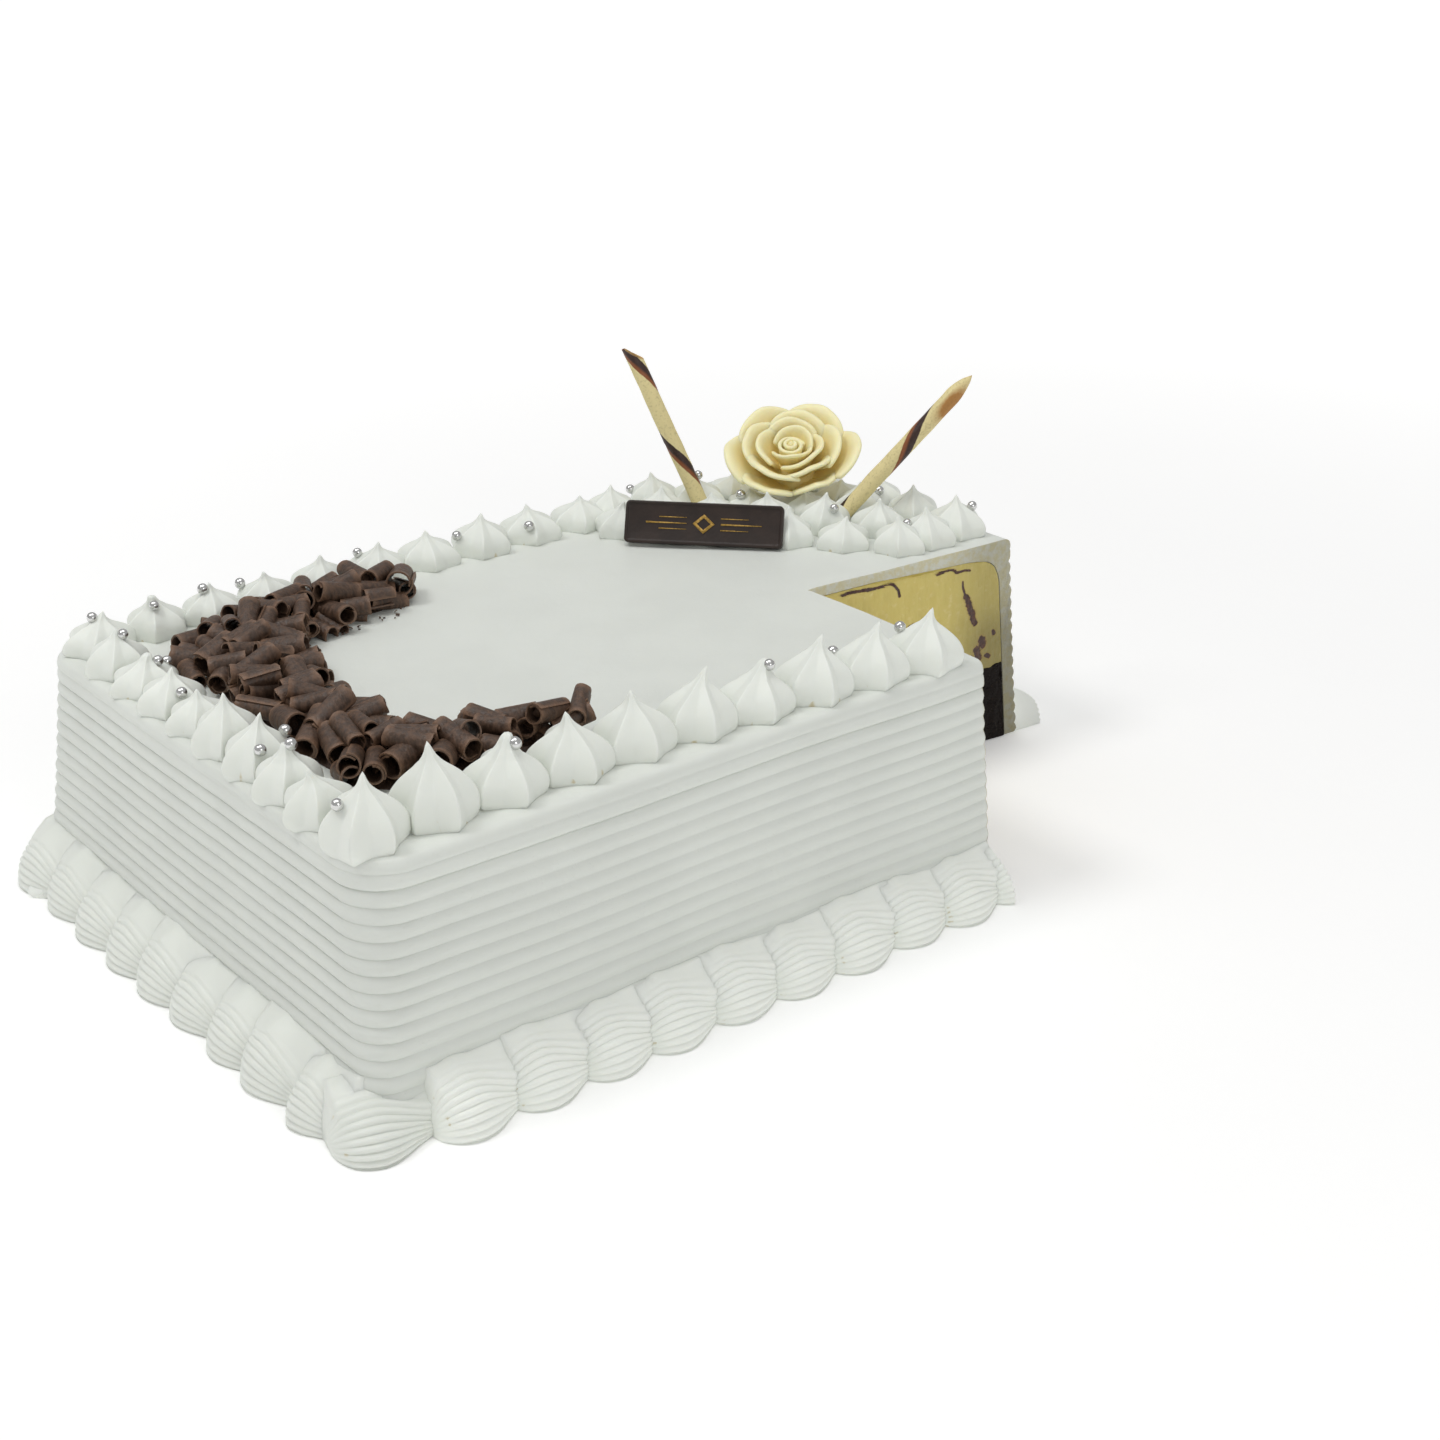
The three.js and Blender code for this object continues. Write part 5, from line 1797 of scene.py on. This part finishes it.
def petal(angle, half_span, low, rim, high, roll, droop, seed):
    """The middle sheet of one petal, cupped about the rose's axis with a rim rolled outwards"""
    columns = 17
    rows = 13
    points = []
    deep = []
    draw = Draw(seed)
    peak = 0.35 * draw()
    ripple = 0.5 + 0.35 * draw()
    phase = 3 * draw()
    for j in range(rows):
        v = j / (rows - 1)
        for i in range(columns):
            u = 2 * i / (columns - 1) - 1
            side = abs(u) ** 2.2
            top = high - (high - low) * 0.3 * side + 0.4 * ripple * math.sin(5 * u + phase)
            top += 0.8 * math.exp(-(5 * (u - peak)) ** 2)
            lip = max(0, (v - 0.8) / 0.2)
            body = min(v / 0.84, 1)
            cup = math.sin(body * math.pi / 2)
            radius = PETAL_ROOT + (rim - PETAL_ROOT) * (0.62 * cup + 0.38 * body ** 2)
            radius -= 0.13 * rim * side * body
            turn = lip * 2.2
            z = low + (top - low) * body ** 1.1 + roll * math.sin(turn)
            radius += roll * (1 - math.cos(turn)) + droop * lip
            way = math.radians(CAMERA_RIGHT + angle + u * half_span * (0.6 + 0.4 * body))
            points.append((radius * math.cos(way), radius * math.sin(way), z))
            # How deep a point lies, which sets the rose's painted shade: most at a petal's foot, plus
            # a painted shadow on its cupped face below the rim
            shadow = 0.3 * (1 - lip) * (0.4 + 0.6 * body) * (1 - 0.5 * side)
            deep.append(1.1 * (1 - body) ** 0.7 + shadow)
    return points, grid_faces(rows, columns), deep


def bud():
    """The middle sheet of the coiled bud"""
    columns = 64
    rows = 8
    points = []
    deep = []
    for j in range(rows):
        v = j / (rows - 1)
        for i in range(columns):
            share = i / (columns - 1)
            way = math.radians(CAMERA_RIGHT + 60 - 760 * share)
            radius = 0.7 + 4.6 * share ** 0.9
            lip = max(0, (v - 0.7) / 0.3)
            radius += 0.45 * lip ** 2 - 0.5 * (1 - v)
            top = 22.2 - 1.6 * share - 1.6 * max(0, share - 0.85) / 0.15
            z = 11 + (top - 11) * v - 0.35 * lip ** 3
            points.append((radius * math.cos(way), radius * math.sin(way), z))
            # Painted shade deepens down the bud
            deep.append(0.75 * (1 - v) + 0.1)
    return points, grid_faces(rows, columns), deep


def set_rose():
    """The moulded rose of white chocolate"""
    points = []
    faces = []
    deep = []
    sheets = [bud()] + [petal(*shape, 400 + i) for i, shape in enumerate(ROSE_PETALS)]
    for new_points, new_faces, new_deep in sheets:
        start = len(points)
        points += new_points
        faces += [tuple(start + index for index in face) for face in new_faces]
        deep += new_deep
    points = np.array(points)
    points += 0.22 * np.column_stack([waves(points, 14, 91 + axis) for axis in range(3)])
    mesh = bpy.data.meshes.new("moulded_rose")
    mesh.from_pydata((points * MM).tolist(), [], faces)
    stored = mesh.attributes.new("deep", "FLOAT", "POINT")
    stored.data.foreach_set("value", np.clip(deep, 0, 1).astype(np.float32))
    mesh.shade_smooth()
    piece = link(bpy.data.objects.new("moulded_rose", mesh))
    wall = piece.modifiers.new("wall", "SOLIDIFY")
    wall.thickness = PETAL_THICK * MM
    wall.offset = 0
    smooth = piece.modifiers.new("smooth", "SUBSURF")
    smooth.levels = smooth.render_levels = 1
    applied(piece)
    axis = Vector((FRONT[0] * math.sin(ROSE_TILT), FRONT[1] * math.sin(ROSE_TILT),
                   math.cos(ROSE_TILT)))
    turn = Vector((0, 0, 1)).rotation_difference(axis).to_matrix().to_4x4()
    place = Matrix.Translation(Vector(ROSE_FOOT) * MM) @ turn
    piece.data.transform(place)
    turn_outwards(piece.data)
    material = finish("white chocolate", rose_finish)
    hand_over(piece, ["rose"], material)
    hub = rose_hub()
    hub.data.transform(place)
    hand_over(hub, (), material)


# Radii and heights of the rose's middle
HUB_PROFILE = [
    (0.1, -0.5), (4, -0.4), (7.6, 1.6), (9.4, 4.5), (8.4, 8), (5.6, 11), (3.4, 14), (2.6, 17),
    (1.7, 20), (0.9, 21.4), (0.1, 21.8),
]


def rose_hub():
    """The solid middle that the petals grow from"""
    around = 40
    points = []
    deep = []
    for radius, z in HUB_PROFILE:
        for i in range(around):
            angle = 2 * math.pi * i / around
            reach = radius * (1 + 0.05 * math.sin(3 * angle + 0.4 * z))
            points.append((reach * math.cos(angle), reach * math.sin(angle), z))
            # Painted shade deepens towards the hub's foot
            deep.append(min(1, max(0, 1.05 - 0.035 * z)))
    return new_object("rose_hub", points, tube_faces(len(HUB_PROFILE), around), {"deep": deep})


# Stage

# The camera's place in metres, its turns in radians, and its lens and sensor in millimetres
CAMERA_PLACE = (-0.4165, -0.5772, 0.3554)
CAMERA_YAW = 0.67212
CAMERA_PITCH = -0.41241
CAMERA_ROLL = -0.011277
CAMERA_LENS = 55.341
CAMERA_SENSOR = 36
# Lamps: place and width in metres, and power in watts
LAMPS = {
    "key": ((-0.72, 0.35, 1.4), 0.5, 6.1),
    "top": ((0.1, 0.1, 1.9), 1.2, 9.2),
    "fill": ((-0.25, -1.5, 0.8), 0.7, 3.7),
}
LAMP_AIM = (0, 0, 0.05)
WORLD_LIGHT = 0.43
FLOOR_HALF = 14


def camera_matrix():
    forward = Vector((
        math.sin(CAMERA_YAW) * math.cos(CAMERA_PITCH),
        math.cos(CAMERA_YAW) * math.cos(CAMERA_PITCH),
        math.sin(CAMERA_PITCH),
    ))
    level = Vector((math.cos(CAMERA_YAW), -math.sin(CAMERA_YAW), 0))
    above = level.cross(forward)
    right = math.cos(CAMERA_ROLL) * level + math.sin(CAMERA_ROLL) * above
    up = -math.sin(CAMERA_ROLL) * level + math.cos(CAMERA_ROLL) * above
    matrix = Matrix((right, up, -forward)).transposed().to_4x4()
    matrix.translation = Vector(CAMERA_PLACE)
    return matrix


def light(name, place, size, power):
    lamp = bpy.data.lights.new(name, "AREA")
    lamp.shape = "DISK"
    lamp.size = size
    lamp.energy = power
    item = link(bpy.data.objects.new(name, lamp))
    item.location = place
    way = Vector(LAMP_AIM) - Vector(place)
    item.rotation_euler = way.to_track_quat("-Z", "Y").to_euler()


def set_stage():
    """The floor, soft studio light and the camera"""
    points = [(FLOOR_HALF * x, FLOOR_HALF * y, 0) for x, y in ((-1, -1), (1, -1), (1, 1), (-1, 1))]
    floor = new_object("floor", np.array(points) / MM, [(0, 1, 2, 3)])
    floor.data.materials.append(finish("studio floor", floor_finish))
    link(floor)
    world = bpy.data.worlds.new("studio")
    world.use_nodes = True
    ground = world.node_tree.nodes["Background"]
    ground.inputs["Color"].default_value = (1, 1, 1, 1)
    ground.inputs["Strength"].default_value = WORLD_LIGHT
    bpy.context.scene.world = world
    for name, lamp in LAMPS.items():
        light(name, *lamp)
    camera = bpy.data.cameras.new("camera")
    camera.lens = CAMERA_LENS
    camera.sensor_width = CAMERA_SENSOR
    camera.sensor_fit = "HORIZONTAL"
    camera.clip_start = 0.02
    view = link(bpy.data.objects.new("camera", camera))
    view.matrix_world = camera_matrix()
    bpy.context.scene.camera = view
    bpy.context.scene.view_settings.view_transform = "Standard"


# Operators, panel and registration

class CAKE_OT_stage(bpy.types.Operator):
    """Sets the floor, the light and the camera"""

    bl_idname = "cake.stage"
    bl_label = "Stage"

    def execute(self, context):
        set_stage()
        return {"FINISHED"}


class CAKE_OT_icing(bpy.types.Operator):
    """Makes the combed coat of icing"""

    bl_idname = "cake.icing"
    bl_label = "Icing coat"

    def execute(self, context):
        coat_icing()
        return {"FINISHED"}


class CAKE_OT_layers(bpy.types.Operator):
    """Makes the ice cream and the sponge"""

    bl_idname = "cake.layers"
    bl_label = "Layers"

    def execute(self, context):
        fill_layers()
        return {"FINISHED"}


class CAKE_OT_stars(bpy.types.Operator):
    """Pipes the stars on the top"""

    bl_idname = "cake.stars"
    bl_label = "Piped stars"

    def execute(self, context):
        pipe_stars()
        return {"FINISHED"}


class CAKE_OT_balls(bpy.types.Operator):
    """Sets the silver sugar balls"""

    bl_idname = "cake.balls"
    bl_label = "Silver sugar balls"

    def execute(self, context):
        set_balls()
        return {"FINISHED"}


class CAKE_OT_shells(bpy.types.Operator):
    """Pipes the shells round the foot"""

    bl_idname = "cake.shells"
    bl_label = "Piped shells"

    def execute(self, context):
        pipe_shells()
        return {"FINISHED"}


class CAKE_OT_curls(bpy.types.Operator):
    """Heaps the chocolate curls"""

    bl_idname = "cake.curls"
    bl_label = "Chocolate curls"

    def execute(self, context):
        heap_curls()
        return {"FINISHED"}


class CAKE_OT_plaque(bpy.types.Operator):
    """Stands the plaque"""

    bl_idname = "cake.plaque"
    bl_label = "Plaque"

    def execute(self, context):
        stand_plaque()
        return {"FINISHED"}


class CAKE_OT_wafers(bpy.types.Operator):
    """Stands the rolled wafers"""

    bl_idname = "cake.wafers"
    bl_label = "Rolled wafers"

    def execute(self, context):
        stand_wafers()
        return {"FINISHED"}


class CAKE_OT_rose(bpy.types.Operator):
    """Sets the moulded rose"""

    bl_idname = "cake.rose"
    bl_label = "Moulded rose"

    def execute(self, context):
        set_rose()
        return {"FINISHED"}


OPERATORS = (
    CAKE_OT_stage, CAKE_OT_icing, CAKE_OT_layers, CAKE_OT_stars, CAKE_OT_balls,
    CAKE_OT_shells, CAKE_OT_curls, CAKE_OT_plaque, CAKE_OT_wafers, CAKE_OT_rose,
)


class CAKE_PT_panel(bpy.types.Panel):
    """Lists the cake's pieces"""

    bl_idname = "CAKE_PT_panel"
    bl_label = "Cake"
    bl_space_type = "VIEW_3D"
    bl_region_type = "UI"
    bl_category = "Cake"

    def draw(self, context):
        for item in OPERATORS:
            self.layout.operator(item.bl_idname)
        for group in (context.scene.cake_sizes, context.scene.cake_colours):
            for key in group.bl_rna.properties.keys():
                if key not in ("rna_type", "name"):
                    self.layout.prop(group, key)


CLASSES = (CakeSizes, CakeColours, *OPERATORS, CAKE_PT_panel)


def register():
    for item in CLASSES:
        bpy.utils.register_class(item)
    bpy.types.Scene.cake_sizes = PointerProperty(type=CakeSizes)
    bpy.types.Scene.cake_colours = PointerProperty(type=CakeColours)


def unregister():
    del bpy.types.Scene.cake_sizes
    del bpy.types.Scene.cake_colours
    for item in reversed(CLASSES):
        bpy.utils.unregister_class(item)


def main():
    register()
    for item in OPERATORS:
        group, name = item.bl_idname.split(".")
        getattr(getattr(bpy.ops, group), name)()


if __name__ == "__main__":
    main()
